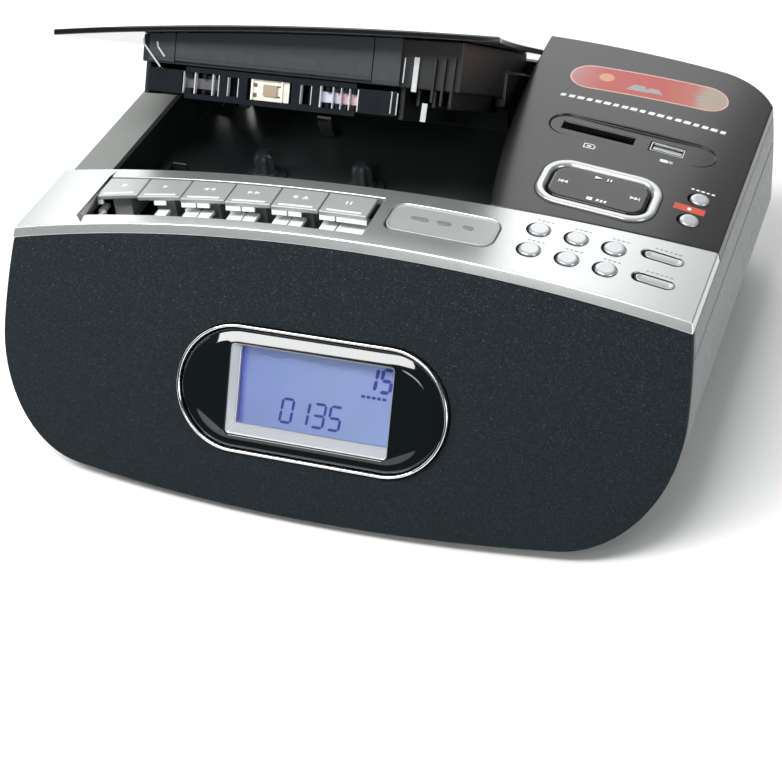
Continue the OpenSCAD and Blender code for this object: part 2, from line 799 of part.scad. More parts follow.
module push_button(at, r) color("#d5d7d8") on_top(at) {
    translate([0, 0, -4.2]) cylinder(r = r, h = 5);
    translate([0, 0, -14]) cylinder(r = r - 1.6, h = 10);
    translate([0, 0, -skin - wall - 1.9]) cylinder(r = r - 0.3, h = 1.6);
}

module button_1() push_button([button_x[0], button_y[0]], button_r);
module button_2() push_button([button_x[1], button_y[0]], button_r);
module button_3() push_button([button_x[2], button_y[0]], button_r);
module button_4() push_button([button_x[0], button_y[1]], button_r);
module button_5() push_button([button_x[1], button_y[1]], button_r);
module button_6() push_button([button_x[2], button_y[1]], button_r);
module standby_button() push_button(standby_at, small_r);
module record_button() push_button(record_at, small_r);

module volume_button(y) color("#d5d7d8") on_top([volume_x, y]) {
    translate([0, 0, -5]) linear_extrude(height = 5) rounded_2d([volume_l, volume_w], volume_w / 2 - eps);
    translate([-2, -1, -14]) cube([4, 2, 9.5]);
}

module volume_up() volume_button(volume_y[0]);
module volume_down() volume_button(volume_y[1]);

module snooze_button() color("#d5d7d8") on_top(snooze_at) {
    translate([0, 0, -4]) linear_extrude(height = 4.4) rounded_2d(snooze_size, 5);
    translate([-3, -3, -14]) cube([6, 6, 10.5]);
}

module pad_ring() color("#d0d2d3") on_top(pad_at) translate([0, 0, -3]) linear_extrude(height = 4)
    difference() {
        rounded_2d(pad_size, pad_corner);
        rounded_2d(pad_size - 2 * [pad_ring_w, pad_ring_w], pad_corner - pad_ring_w);
    }

module nav_pad() color("#141415") on_top(pad_at) difference() {
    union() {
        translate([0, 0, -2.4]) linear_extrude(height = 3)
            rounded_2d(pad_size - 2 * [pad_ring_w + pad_gap, pad_ring_w + pad_gap],
                pad_corner - pad_ring_w - pad_gap);
        translate([-4, -3, pad_pivot - 2]) cube([2, 6, 10]);
        translate([2, -3, pad_pivot - 2]) cube([2, 6, 10]);
    }
    translate([-6, 0, pad_pivot]) rotate([0, 90, 0]) cylinder(r = 1 + run, h = 12);
}

// Cross that lets the pad rock both ways: one pin along X in the pad, one along Y in the board
module pad_gimbal() color("#777777") on_top(pad_at) {
    translate([-4.2, 0, pad_pivot]) rotate([0, 90, 0]) cylinder(r = 1, h = 8.4);
    translate([-1.6, -1.6, pad_pivot - 1.6]) cube([3.2, 3.2, 3.2]);
    translate([0, -5.2, pad_pivot]) rotate([-90, 0, 0]) cylinder(r = 0.8, h = 10.4);
}

// ---- sockets and electronics ----

module card_socket() color("#8f9294") on_top(card_at) translate([0, 0, -30]) difference() {
    translate([-15.5, -3.9, 0]) cube([31, 7.8, 30 - skin - wall - 0.3]);
    translate([-card_size[0] / 2, -card_size[1] / 2, 2]) cube([card_size[0], card_size[1], 40]);
}

module usb_socket() color("#b4b6b8") on_top(usb_at) {
    translate([0, 0, -20]) difference() {
        translate([-6.4, -2.7, 0]) cube([12.8, 5.4, 18.8]);
        translate([-6, -2.35, 1]) cube([12, 4.7, 30]);
    }
    translate([-5.5, -0.1, -19.5]) cube([11, 1.9, 17.2]);
}

module main_board() color("#2f6b3a") {
    difference() {
        block([-92, -42, board_z], [112, 68, board_z + 1.6]);
        block([-66, -4, board_z - 1], [85, 90, board_z + 3]);
        for (p = board_posts) translate([p[0], p[1], board_z - 1]) cylinder(r = 1.6, h = 4);
    }
    for (x = [-40 : 26 : 12]) block([x, -34, board_z + 1.5], [x + 14, -22, board_z + 4]);
    for (y = [10 : 12 : 46]) translate([97, y, board_z + 1.5]) cylinder(r = 4, h = 9);
}

module transformer() color("#7d7466") {
    block([-60, 20, 8], [-24, 60, 34]);
    block([-54, 14, 13], [-30, 20.1, 29]);
    block([-54, 59.9, 13], [-30, 66, 29]);
}

module mains_inlet() color("#0f0f0f") translate([inlet_at[0], back_y - 18, inlet_at[1]])
    rotate([-90, 0, 0]) difference() {
        union() {
            linear_extrude(height = 18) rounded_2d([19, 9], 4.4);
            linear_extrude(height = 15) rounded_2d([24, 12], 5);
        }
        translate([0, 0, 4]) linear_extrude(height = 20) difference() {
            rounded_2d([15.4, 6.6], 3.2);
            for (sx = [-1, 1]) translate([sx * 4.3, 0]) circle(r = 1.15);
        }
    }

module headphone_jack() color("#1a1a1a") translate([jack_at[0], back_y - 16, jack_at[1]])
    rotate([-90, 0, 0]) difference() {
        union() {
            translate([-6, -5, 0]) cube([12, 10, 13.2]);
            cylinder(r = jack_nose_r, h = 16);
        }
        translate([0, 0, 2]) cylinder(r = jack_r, h = 20);
    }

// ---- lid ----

// Everything below the closed lid's surface, down to a depth
module under_lid(depth) {
    translate([lid_c[0], -far, lid_c[1]]) rotate([-90, 0, 0])
        cylinder(r = lid_r - depth, h = 2 * far, $fn = 2 * big_fn);
}

module lid_skin() color("#151617") lid_pose() difference() {
    intersection() {
        under_lid(0);
        lid_region(lid_skin_gap);
        linear_extrude(height = 200) plan_2d(0.9, 0);
        translate([-far, -far, 50]) cube([2 * far, far + lid_back, 200]);
    }
    under_lid(lid_t);
}

module cassette_holder() color("#202224") lid_pose() {
    difference() {
        union() {
            // hollow box under the skin, open at the back
            difference() {
                intersection() {
                    block([holder_left - holder_wall, holder_front, holder_bottom],
                        [holder_box_right, holder_back, 120]);
                    under_lid(lid_t + 0.05);
                }
                intersection() {
                    block([holder_left, holder_front + holder_wall, holder_bottom + holder_wall],
                        [holder_box_right - holder_wall, holder_back - holder_wall, 120]);
                    under_lid(lid_t + 1.6);
                }
            }
            holder_cheeks();
            hinge_arms();
        }
        for (y = [8, 22]) translate([holder_left - 3, y, tape_z - 2]) cube([4, 3, 5]);
        // room for the spring that pushes on the back of the cassette
        block([clip_at[0] - 5.5, tape_edge + tape_l - 1, tape_z - 8], [clip_at[0] + 5.5, 70, tape_z + 7]);
    }
    for (i = [0, 1]) {
        x0 = ear_x[i] + (i == 0 ? -ear_gap - ear_t : arm_t - eps);
        translate([x0, hinge_y, hinge_z]) rotate([0, 90, 0])
            cylinder(r = pin_r, h = ear_gap + ear_t + eps);
    }
}

module holder_cheeks() {
    for (x = [holder_left - holder_wall, holder_right])
        block([x, tape_edge + 2, tape_z - tape_t / 2 - 1.2], [x + holder_wall, 60, holder_bottom + 1]);
    // rails under the ends of the cassette
    block([holder_left - holder_wall, tape_edge + 16, tape_z - tape_t / 2 - 1.2],
        [holder_left + 3, 60, tape_z - tape_t / 2 - 0.3]);
    block([holder_right - 3, tape_edge + 16, tape_z - tape_t / 2 - 1.2],
        [holder_right + holder_wall, 60, tape_z - tape_t / 2 - 0.3]);
    // stop behind the cassette
    block([holder_left - holder_wall, tape_edge + tape_l + 0.1, tape_z - tape_t / 2 - 1.2],
        [holder_right + holder_wall, tape_edge + tape_l + 1.7, holder_bottom + 1]);
    // ribs of the right cheek
    for (x = [14 : 6 : 26]) block([x, holder_front + 6, tape_z], [x + 1.4, 60, holder_bottom + 1]);
}

module hinge_arms() {
    for (i = [0, 1]) {
        x0 = ear_x[i];
        intersection() {
            union() {
                block([x0, 50, holder_bottom - 4], [x0 + arm_t, hinge_y, hinge_z + 3.4]);
                translate([x0, hinge_y, hinge_z]) rotate([0, 90, 0]) cylinder(r = ear_r, h = arm_t);
            }
            under_lid(lid_t + 0.05);
        }
    }
    block([ear_x[0], 50, holder_bottom - 4], [holder_left, 60, holder_bottom + 1]);
}

// ---- cassette ----

module cassette_shell() color("#18191b") lid_pose() translate([deck_x, tape_edge, tape_z]) difference() {
    union() {
        translate([-tape_w / 2, 0, -tape_t / 2]) cube([tape_w, tape_l, tape_t]);
        translate([0, 0, -tape_lip_t / 2]) linear_extrude(height = tape_lip_t)
            polygon([[-34.5, 0], [34.5, 0], [31, tape_lip_l], [-31, tape_lip_l]]);
    }
    translate([-tape_w / 2 + 1.4, 9, -3.2]) cube([tape_w - 2.8, tape_l - 10.4, 6.4]);
    for (sx = [-1, 1]) translate([sx * hub_pitch / 2, hub_back, -20]) cylinder(r = 5.4, h = 40);
    for (sx = [-1, 1]) {
        translate([sx * capstan_dx, 5.9, -20]) cylinder(r = 3.2, h = 40);
        translate([sx * 12, 4.2, -20]) cylinder(r = 2, h = 40);
    }
    // windows for the heads and the rollers in the tape edge
    translate([-9, -1, -4]) cube([18, 8, 8]);
    for (sx = [-1, 1]) {
        translate([sx * 28 - 8, -1, -4]) cube([16, 12, 8]);
        translate([sx * 14.8 - 2.3, -1, -3.5]) cube([4.6, 6, 7]);
    }
}

module reel(sx) color("#efece2") lid_pose()
    translate([deck_x + sx * hub_pitch / 2, hub_y, tape_z - 2.9]) difference() {
        union() {
            cylinder(r = sx < 0 ? 20.5 : 17, h = 5.8);
        }
        translate([0, 0, -1]) cylinder(r = 5, h = 10);
    }

module reel_left() reel(-1);
module reel_right() reel(1);

lower_shell();
upper_shell();
control_strip();
left_frame();
top_panel();
grille();
front_baffle();
bezel_ring();
lcd_bezel();
lcd_frame();
lcd_lens();
lcd_module();
speaker_baskets();
speaker_cones();
well_tray();
deck_motor();
motor_pulley();
drive_belt();
flywheel();
spindle_left();
spindle_right();
head_plate();
pinch_roller();
spring_clip();
key_shaft();
key_comb();
key_record();
key_play();
key_rewind();
key_forward();
key_stop();
key_pause();
snooze_button();
button_1();
button_2();
button_3();
button_4();
button_5();
button_6();
volume_up();
volume_down();
standby_button();
record_button();
pad_ring();
nav_pad();
pad_gimbal();
card_socket();
usb_socket();
main_board();
transformer();
mains_inlet();
headphone_jack();
battery_door();
feet();
screws();
lid_skin();
cassette_holder();
cassette_shell();
reel_left();
reel_right();
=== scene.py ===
"""Looks of a table-top clock radio with a cassette deck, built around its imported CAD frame."""
import json
import math

import bmesh
import bpy
from mathutils import Matrix, Vector

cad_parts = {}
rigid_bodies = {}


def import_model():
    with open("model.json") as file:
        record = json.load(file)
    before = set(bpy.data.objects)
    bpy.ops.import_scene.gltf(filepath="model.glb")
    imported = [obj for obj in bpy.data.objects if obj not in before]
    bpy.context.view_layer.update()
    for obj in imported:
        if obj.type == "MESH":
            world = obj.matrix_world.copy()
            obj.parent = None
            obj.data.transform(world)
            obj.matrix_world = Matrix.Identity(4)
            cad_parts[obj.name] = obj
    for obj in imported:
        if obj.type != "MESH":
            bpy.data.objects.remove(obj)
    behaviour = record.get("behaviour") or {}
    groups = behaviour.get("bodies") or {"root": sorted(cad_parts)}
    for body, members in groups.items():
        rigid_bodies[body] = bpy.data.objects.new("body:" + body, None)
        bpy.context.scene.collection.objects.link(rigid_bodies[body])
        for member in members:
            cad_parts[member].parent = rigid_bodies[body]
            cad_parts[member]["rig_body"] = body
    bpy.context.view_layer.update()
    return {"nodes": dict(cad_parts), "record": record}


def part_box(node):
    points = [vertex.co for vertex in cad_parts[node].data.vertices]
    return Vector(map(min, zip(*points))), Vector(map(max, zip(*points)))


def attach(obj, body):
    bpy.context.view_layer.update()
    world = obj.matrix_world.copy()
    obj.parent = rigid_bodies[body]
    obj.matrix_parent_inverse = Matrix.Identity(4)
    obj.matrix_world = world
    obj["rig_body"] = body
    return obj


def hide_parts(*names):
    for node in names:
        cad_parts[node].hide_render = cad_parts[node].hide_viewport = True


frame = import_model()

# Shapes below are built in millimetres and scaled when they become pieces
MM = 0.001
CROWN = 92                      # highest line of the arched top
TOP_R = 555                     # radius of the arched top
FACE_R = 1000                   # radius of the bulging front
FACE_TOP_Y = -53.1              # where the front starts, at the crown's height
LEAN = math.radians(30.3)       # how far the front leans back
HINGE = Vector((0, 90, 76))     # axis of the lid
LID_OPEN = math.radians(31)
LID_R = 1700                    # radius of the lid's flatter top
DECK_X = -42                    # middle of the cassette
TAPE_EDGE = -4.7                # the cassette's tape edge, and its middle plane, with the lid closed
TAPE_Z = 63.5
KEYS_X = -103.4                 # left edge of the first deck key
PITCH = 18.85                   # from one deck key to the next
WELD = 0.012                    # corners of a CAD mesh that are closer than this are one
FLAT = math.radians(0.06)       # faces of a CAD mesh that are flatter than this are one
SHARP = math.radians(38)        # edges of a CAD mesh that are sharper than this are rounded
PLAIN_REACH = 5.6               # reach of a place whose rim stays sharp
DIGIT_LOW, DIGIT_HIGH = -4.08, -3.96    # the ink on the display's face

LID = Matrix.Translation(HINGE) @ Matrix.Rotation(-LID_OPEN, 4, "X") @ Matrix.Translation(-HINGE)
FACE = Matrix.Translation((0, FACE_TOP_Y, CROWN)) @ Matrix.Rotation(-LEAN, 4, "X")
CASSETTE = LID @ Matrix.Translation((DECK_X, TAPE_EDGE, TAPE_Z))


# ---- places ----

def arch_wrap(x0, y0, rise=0.0):
    """Maps flat points round a place onto the arched top, with Z out of the surface."""
    def place(p):
        angle = math.asin(x0 / TOP_R) + p[0] / TOP_R
        radius = TOP_R + rise + p[2]
        return Vector((radius * math.sin(angle), y0 + p[1], CROWN - TOP_R + radius * math.cos(angle)))
    return place


def flat(matrix):
    """Maps points through a matrix."""
    return lambda p: matrix @ Vector(p)


def on_face(x, s):
    """Matrix of a place on the leaning face: X to the right, Y up the face, Z outwards."""
    return FACE @ Matrix.Translation((x, 0, s)) @ Matrix.Rotation(math.pi / 2, 4, "X")


def on_arch(x, y, depth):
    """A point below the arched top."""
    return arch_wrap(x, y)((0, 0, -depth))


def top_at(x):
    """Height of the arched top."""
    return CROWN - TOP_R + math.sqrt(TOP_R ** 2 - x ** 2)


def top_place(node):
    """Where a node under the arched top meets it, as (x, y), from the middle of its box.

    A tilted button's axis doesn't pass through that middle, so x is 0.3 to 0.8 mm too far to the right.
    """
    low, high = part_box(node)
    middle = (low + high) / 2 / MM
    angle = math.atan2(middle.x, middle.z - (CROWN - TOP_R))
    return TOP_R * math.sin(angle), middle.y


def lid_centre():
    """Centre of the arc of the lid's flatter top, seen from the front."""
    a, b = Vector((-131.5, top_at(-131.5) + 2)), Vector((43, top_at(43)))
    half = (b - a) / 2
    down = Vector((half.y, -half.x)).normalized()
    return (a + b) / 2 + down * math.sqrt(LID_R ** 2 - half.length_squared)


LID_C = lid_centre()


def arch_normal(p):
    """Direction out of the arched top."""
    return Vector((p.x, 0, p.z - CROWN + TOP_R)).normalized()


def lid_normal(p):
    """Direction out of the open lid's top."""
    local = LID.inverted() @ p
    return LID.to_3x3() @ Vector((local.x - LID_C.x, 0, local.z - LID_C.y)).normalized()


def face_normal(p):
    """Direction out of the front."""
    local = FACE.inverted() @ p
    return FACE.to_3x3() @ Vector((local.x, local.y - FACE_R, 0)).normalized()


# ---- meshes ----

def shade(mesh, fields=(), split=50):
    """Smooth normals that follow the true arched surfaces where a face lies on one."""
    limit = math.cos(math.radians(split))
    around = [[] for _ in mesh.vertices]
    for face in mesh.polygons:
        for v in face.vertices:
            around[v].append(face)
    normals = [None] * len(mesh.loops)
    for face in mesh.polygons:
        for loop in face.loop_indices:
            v = mesh.loops[loop].vertex_index
            near = [f for f in around[v] if f.normal.dot(face.normal) > limit]
            normal = sum((f.normal * f.area for f in near), Vector())
            for field in fields:
                true = field(mesh.vertices[v].co / MM)
                if any(f.normal.dot(true) > 0.997 for f in near):
                    normal = true
                    break
            normals[loop] = normal.normalized() if normal.length else face.normal
    mesh.polygons.foreach_set("use_smooth", [True] * len(mesh.polygons))
    mesh.normals_split_custom_set(normals)


def add(name, bm, like, mat, slot=None, replaces=(), fields=(), split=50):
    """Makes a bmesh in millimetres into a piece that rides with a CAD node."""
    bmesh.ops.remove_doubles(bm, verts=bm.verts, dist=0.002)
    bmesh.ops.dissolve_degenerate(bm, edges=bm.edges, dist=0.002)
    bmesh.ops.recalc_face_normals(bm, faces=bm.faces)
    bmesh.ops.scale(bm, vec=(MM, MM, MM), verts=bm.verts)
    mesh = bpy.data.meshes.new(name)
    bm.to_mesh(mesh)
    bm.free()
    mesh.materials.append(mat)
    shade(mesh, fields, split)
    piece = bpy.data.objects.new(name, mesh)
    bpy.context.scene.collection.objects.link(piece)
    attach(piece, frame["nodes"][like]["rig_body"])
    slot or slots[like]
    if replaces:
        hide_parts(*replaces)
    return piece


def copy_of(node):
    """A node's mesh in millimetres, with its thin facets joined."""
    bm = bmesh.new()
    bm.from_mesh(frame["nodes"][node].data)
    bmesh.ops.scale(bm, vec=(1 / MM, 1 / MM, 1 / MM), verts=bm.verts)
    bmesh.ops.remove_doubles(bm, verts=bm.verts, dist=WELD)
    bmesh.ops.dissolve_degenerate(bm, edges=bm.edges, dist=WELD)
    bmesh.ops.dissolve_limit(bm, angle_limit=FLAT, verts=bm.verts, edges=bm.edges)
    return bm


def refine(node, mat, bevel=0.4, segments=2, fields=(), plain=()):
    """Stands for a CAD node, with rounded edges; holes at the plain places keep sharp rims."""
    bm = copy_of(node)

    def is_plain(edge):
        at = edge.verts[0].co
        return any(math.hypot(at.x - x, at.y - y) < PLAIN_REACH for x, y in plain)

    sharp = [e for e in bm.edges
             if len(e.link_faces) == 2 and e.calc_face_angle(0) > SHARP and not is_plain(e)]
    bmesh.ops.bevel(bm, geom=sharp, offset=bevel, offset_type="OFFSET", segments=segments,
                    profile=0.5, affect="EDGES", clamp_overlap=False, miter_outer="SHARP")
    return add(node + "_shape", bm, node, mat, replaces=(node,), fields=fields)


def outline(w, h, r, n=8):
    """Rounded rectangle about the origin, anticlockwise."""
    r = max(min(r, w / 2, h / 2), 0.02)
    points = []
    for i, (sx, sy) in enumerate(((1, 1), (-1, 1), (-1, -1), (1, -1))):
        for k in range(n + 1):
            a = math.radians(90 * (i + k / n))
            points.append((sx * (w / 2 - r) + r * math.cos(a), sy * (h / 2 - r) + r * math.sin(a)))
    return points


def loft(bm, loops, ring=False, low_end=True, high_end=True):
    """Skin over loops of points; a ring joins its last loop to its first."""
    rows = [[bm.verts.new(p) for p in loop] for loop in loops]
    if ring:
        rows.append(rows[0])
    for a, b in zip(rows, rows[1:]):
        for i in range(len(a)):
            j = (i + 1) % len(a)
            bm.faces.new((a[i], a[j], b[j], b[i]))
    if not ring and low_end:
        bm.faces.new(rows[0])
    if not ring and high_end:
        bm.faces.new(rows[-1])


def stack(bm, shape, profile, place, n=8, **ends):
    """Skin over an outline (w, h, r) that shrinks by an inset at each height of a profile."""
    w, h, r = shape
    loft(bm, [[place((x, y, z)) for x, y in outline(w - 2 * i, h - 2 * i, max(r - i, 0.02), n)]
              for i, z in profile], **ends)


def sheet(bm, columns, place, low=-0.02, high=0.04):
    """Thin plate given by columns (x, y0, y1), so that it can follow a curved surface."""
    rows = []
    for x, y0, y1 in columns:
        corners = ((x, y0, low), (x, y1, low), (x, y1, high), (x, y0, high))
        rows.append([bm.verts.new(place(p)) for p in corners])
    for a, b in zip(rows, rows[1:]):
        for i in range(4):
            j = (i + 1) % 4
            bm.faces.new((a[i], a[j], b[j], b[i]))
    bm.faces.new(rows[0])
    bm.faces.new(rows[-1])


def pill(bm, at, w, h, place, n=12, **heights):
    """Plate with round ends."""
    r = h / 2
    xs = [-w / 2 + r - r * math.cos(math.pi / 2 * k / n) for k in range(n + 1)]
    xs += [-w / 2 + r + (w - h) * k / n for k in range(1, n)]
    xs += [w / 2 - r + r * math.sin(math.pi / 2 * k / n) for k in range(n + 1)]
    columns = []
    for x in xs:
        over = max(0, abs(x) - (w / 2 - r))
        y = math.sqrt(max(r * r - over * over, 1e-4))
        columns.append((at[0] + x, at[1] - y, at[1] + y))
    sheet(bm, columns, place, **heights)


def rectangle(x0, x1, y0, y1):
    """Corners of a rectangle, anticlockwise."""
    return [(x0, y0), (x1, y0), (x1, y1), (x0, y1)]


def polygon(bm, points, place, low=-0.02, high=0.04):
    """Thin plate over a small convex outline."""
    bottom = [bm.verts.new(place((x, y, low))) for x, y in points]
    top = [bm.verts.new(place((x, y, high))) for x, y in points]
    bm.faces.new(bottom)
    bm.faces.new(top)
    for i in range(len(points)):
        j = (i + 1) % len(points)
        bm.faces.new((bottom[i], bottom[j], top[j], top[i]))


def box(bm, low, high, place):
    """Block between two corners."""
    polygon(bm, rectangle(low[0], high[0], low[1], high[1]), place, low=low[2], high=high[2])


def round_edges(bm, width, segments=2, angle=40):
    """Rounds the sharp edges of a bmesh."""
    sharp = [e for e in bm.edges if len(e.link_faces) == 2 and e.calc_face_angle(0) > math.radians(angle)]
    bmesh.ops.bevel(bm, geom=sharp, offset=width, offset_type="OFFSET", segments=segments, profile=0.5,
                    affect="EDGES", clamp_overlap=True)


slots = {part["node"]: part["material_slot"] for part in frame["record"]["subparts"]}


# ---- materials ----

class Surface:
    """A Principled material with short calls for the nodes that vary it."""

    def __init__(self, name, **inputs):
        self.mat = bpy.data.materials.new(name)
        self.mat.use_nodes = True
        self.tree = self.mat.node_tree
        self.shader = self.tree.nodes["Principled BSDF"]
        self.coords = self.node("ShaderNodeTexCoord").outputs["Object"]
        for key, value in inputs.items():
            self.shader.inputs[key.replace("_", " ")].default_value = value

    def node(self, kind, **settings):
        node = self.tree.nodes.new(kind)
        for key, value in settings.items():
            setattr(node, key, value)
        return node

    def link(self, source, target):
        self.tree.links.new(source, target)

    def turned(self, rotation=(0, 0, 0), stretch=(1, 1, 1)):
        mapping = self.node("ShaderNodeMapping")
        mapping.inputs["Rotation"].default_value = rotation
        mapping.inputs["Scale"].default_value = stretch
        self.link(self.coords, mapping.inputs["Vector"])
        return mapping.outputs["Vector"]

    def noise(self, scale, detail=2.0, stretch=(1, 1, 1), rotation=(0, 0, 0)):
        texture = self.node("ShaderNodeTexNoise")
        texture.inputs["Scale"].default_value = scale
        texture.inputs["Detail"].default_value = detail
        self.link(self.turned(rotation, stretch), texture.inputs["Vector"])
        return texture.outputs["Fac"]

    def along(self, axis, low, high):
        """0 to 1 between two places on an axis, in millimetres."""
        split = self.node("ShaderNodeSeparateXYZ")
        self.link(self.coords, split.inputs["Vector"])
        return self.spread(split.outputs[axis], 0, 1, low * MM, high * MM)

    def spread(self, source, low, high, start=0.3, end=0.7):
        """Maps one range to another."""
        node = self.node("ShaderNodeMapRange")
        self.link(source, node.inputs["Value"])
        node.inputs["From Min"].default_value = start
        node.inputs["From Max"].default_value = end
        node.inputs["To Min"].default_value = low
        node.inputs["To Max"].default_value = high
        return node.outputs["Result"]

    def maths(self, operation, a, b, c=None):
        """A maths node; each input is a socket or a number."""
        node = self.node("ShaderNodeMath", operation=operation)
        for socket, value in zip(node.inputs, (a, b, c)):
            if isinstance(value, (int, float)):
                socket.default_value = value
            elif value is not None:
                self.link(value, socket)
        return node.outputs["Value"]

    def ramp(self, source, stops):
        node = self.node("ShaderNodeValToRGB")
        elements = node.color_ramp.elements
        while len(elements) < len(stops):
            elements.new(0.5)
        for element, (position, color) in zip(elements, stops):
            element.position = position
            element.color = (*color, 1)
        self.link(source, node.inputs["Fac"])
        return node.outputs["Color"]

    def color(self, source, base, swing):
        """Base colour that is a little darker and lighter over the surface."""
        dark = [c * (1 - swing) for c in base]
        light = [min(1, c * (1 + swing)) for c in base]
        self.link(self.ramp(source, [(0.3, dark), (0.7, light)]), self.shader.inputs["Base Color"])

    def rough(self, source, low, high):
        self.link(self.spread(source, low, high), self.shader.inputs["Roughness"])

    def bump(self, source, depth, strength=1.0):
        node = self.node("ShaderNodeBump")
        node.inputs["Distance"].default_value = depth * MM
        node.inputs["Strength"].default_value = strength
        self.link(source, node.inputs["Height"])
        self.link(node.outputs["Normal"], self.shader.inputs["Normal"])


def moulded(name, base, rough, grain=900, depth=0.01, swing=0.05, **inputs):
    """Plastic with a fine moulded grain."""
    s = Surface(name, **inputs)
    s.color(s.noise(240, 3), base, swing)
    s.rough(s.noise(420, 3), rough * 0.9, rough * 1.12)
    s.bump(s.noise(grain, 2), depth)
    return s.mat


def glossy(name, base, rough=0.08, **inputs):
    """Polished plastic."""
    s = Surface(name, **inputs)
    s.color(s.noise(300, 2), base, 0.06)
    s.rough(s.noise(260, 1), rough * 0.96, rough * 1.04)
    return s.mat


def painted(name, base, rough, metallic):
    """Silver paint: metal flakes under a satin coat."""
    s = Surface(name, Metallic=metallic)
    s.color(s.noise(2600, 1), base, 0.035)
    s.rough(s.noise(600, 2), rough * 0.95, rough * 1.06)
    s.bump(s.noise(1600, 2), 0.002)
    return s.mat


def metal(name, base, rough, stretch=(1, 1, 1)):
    """Bare metal; a stretched grain reads as brushed."""
    s = Surface(name, Metallic=1.0)
    s.color(s.noise(400, 2, stretch), base, 0.06)
    s.rough(s.noise(500, 3, stretch), max(0.03, rough * 0.8), rough * 1.2)
    s.bump(s.noise(900, 2, stretch), 0.002)
    return s.mat


def printed(name, base, rough=0.5, glow=0.0):
    """Screen-printed ink."""
    s = Surface(name, Roughness=rough)
    s.color(s.noise(1500, 2), base, 0.06)
    if glow:
        s.shader.inputs["Emission Color"].default_value = (*base, 1)
        s.shader.inputs["Emission Strength"].default_value = glow
    return s.mat


def cloth(name):
    """Fine speaker cloth: crossed threads with light flecks where a thread catches the light."""
    s = Surface(name, Roughness=0.85)
    s.shader.inputs["Specular IOR Level"].default_value = 0.25
    tilt = (LEAN, 0, 0)
    across = s.noise(1500, 2, (0.5, 1, 1), tilt)
    down = s.noise(1500, 2, (1, 1, 0.5), tilt)
    weave = s.maths("MULTIPLY", s.spread(across, 0, 1, 0.35, 0.7), s.spread(down, 0, 1, 0.35, 0.7))
    flecks = s.spread(s.noise(2600, 1), 0, 1, 0.56, 0.72)
    mix = s.maths("MULTIPLY_ADD", flecks, 0.6, s.maths("MULTIPLY", weave, 0.5))
    # painted shade: the cloth's colour is darker towards the bottom of the front and lighter towards its top
    mix = s.maths("MULTIPLY", mix, s.maths("MULTIPLY_ADD", s.along("Z", 5, 85), 0.35, 0.75))
    colour = s.ramp(mix, [(0.0, (0.004, 0.008, 0.010)), (0.30, (0.009, 0.015, 0.018)),
                          (0.65, (0.024, 0.034, 0.037)), (1.0, (0.10, 0.12, 0.125))])
    s.link(colour, s.shader.inputs["Base Color"])
    s.bump(mix, 0.10, 0.6)
    return s.mat


def backlit(name):
    """Backlit display: blue-violet, with a deeper band at its left end."""
    s = Surface(name, Roughness=0.5, Emission_Strength=0.36)
    s.shader.inputs["Specular IOR Level"].default_value = 0.2
    along = s.maths("MULTIPLY_ADD", s.noise(60, 2), 0.02, s.along("X", -31, 31))
    colour = s.ramp(along, [(0.0, (0.05, 0.07, 0.30)), (0.055, (0.10, 0.13, 0.42)),
                            (0.085, (0.18, 0.235, 0.44)), (0.55, (0.20, 0.26, 0.45)),
                            (1.0, (0.22, 0.285, 0.49))])
    s.link(colour, s.shader.inputs["Base Color"])
    s.link(colour, s.shader.inputs["Emission Color"])
    return s.mat


def clear(name):
    """Clear plastic of the display's lens."""
    s = Surface(name, Transmission_Weight=1.0, IOR=1.2)
    s.color(s.noise(40, 2), (0.97, 0.975, 0.99), 0.01)
    s.rough(s.noise(300, 2), 0.0, 0.02)
    return s.mat


def deck_plastic(name):
    """Black plastic of the well, with painted light: paler over the deck's floor between the reels and darker
    towards both ends, which lie in shade.
    """
    s = Surface(name, Roughness=0.24)
    # painted light: a ramp along X makes the floor pale between the reels and dark towards both ends
    along = s.maths("MULTIPLY_ADD", s.noise(120, 2), 0.03, s.along("X", -110, 50))
    colour = s.ramp(along, [(0.1, (0.018, 0.021, 0.022)), (0.24, (0.022, 0.026, 0.028)),
                            (0.36, (0.085, 0.097, 0.100)), (0.78, (0.075, 0.086, 0.088)),
                            (0.92, (0.020, 0.023, 0.024))])
    s.link(colour, s.shader.inputs["Base Color"])
    s.bump(s.noise(900, 2), 0.001)
    return s.mat


def sticker_red(name):
    """Printed sticker: pink at its left end, then red, and cream at its right end."""
    s = Surface(name, Roughness=0.25)
    along = s.maths("MULTIPLY_ADD", s.noise(90, 3), 0.12, s.along("X", 50, 116))
    colour = s.ramp(along, [(0.0, (0.36, 0.22, 0.23)), (0.16, (0.34, 0.11, 0.10)),
                            (0.30, (0.34, 0.040, 0.028)), (0.62, (0.36, 0.030, 0.018)),
                            (0.80, (0.36, 0.085, 0.060)), (0.88, (0.32, 0.25, 0.19))])
    s.link(colour, s.shader.inputs["Base Color"])
    return s.mat


shell_grey = moulded("shell_grey", (0.185, 0.200, 0.198), 0.42, grain=1100, depth=0.010, Metallic=0.3)
strip_silver = painted("strip_silver", (0.67, 0.70, 0.69), 0.34, 0.85)
frame_silver = painted("frame_silver", (0.205, 0.218, 0.203), 0.55, 0.2)
gloss_black = glossy("gloss_black", (0.011, 0.011, 0.011), 0.21)
lid_black = glossy("lid_black", (0.008, 0.009, 0.010), 0.10)
bezel_black = glossy("bezel_black", (0.002, 0.004, 0.005), 0.05, IOR=1.6)
grille_cloth = cloth("grille_cloth")
deck_black = deck_plastic("deck_black")
holder_black = moulded("holder_black", (0.010, 0.011, 0.012), 0.40, grain=1200, depth=0.003)
apron_grey = moulded("apron_grey", (0.038, 0.041, 0.046), 0.36, grain=1200, depth=0.002)
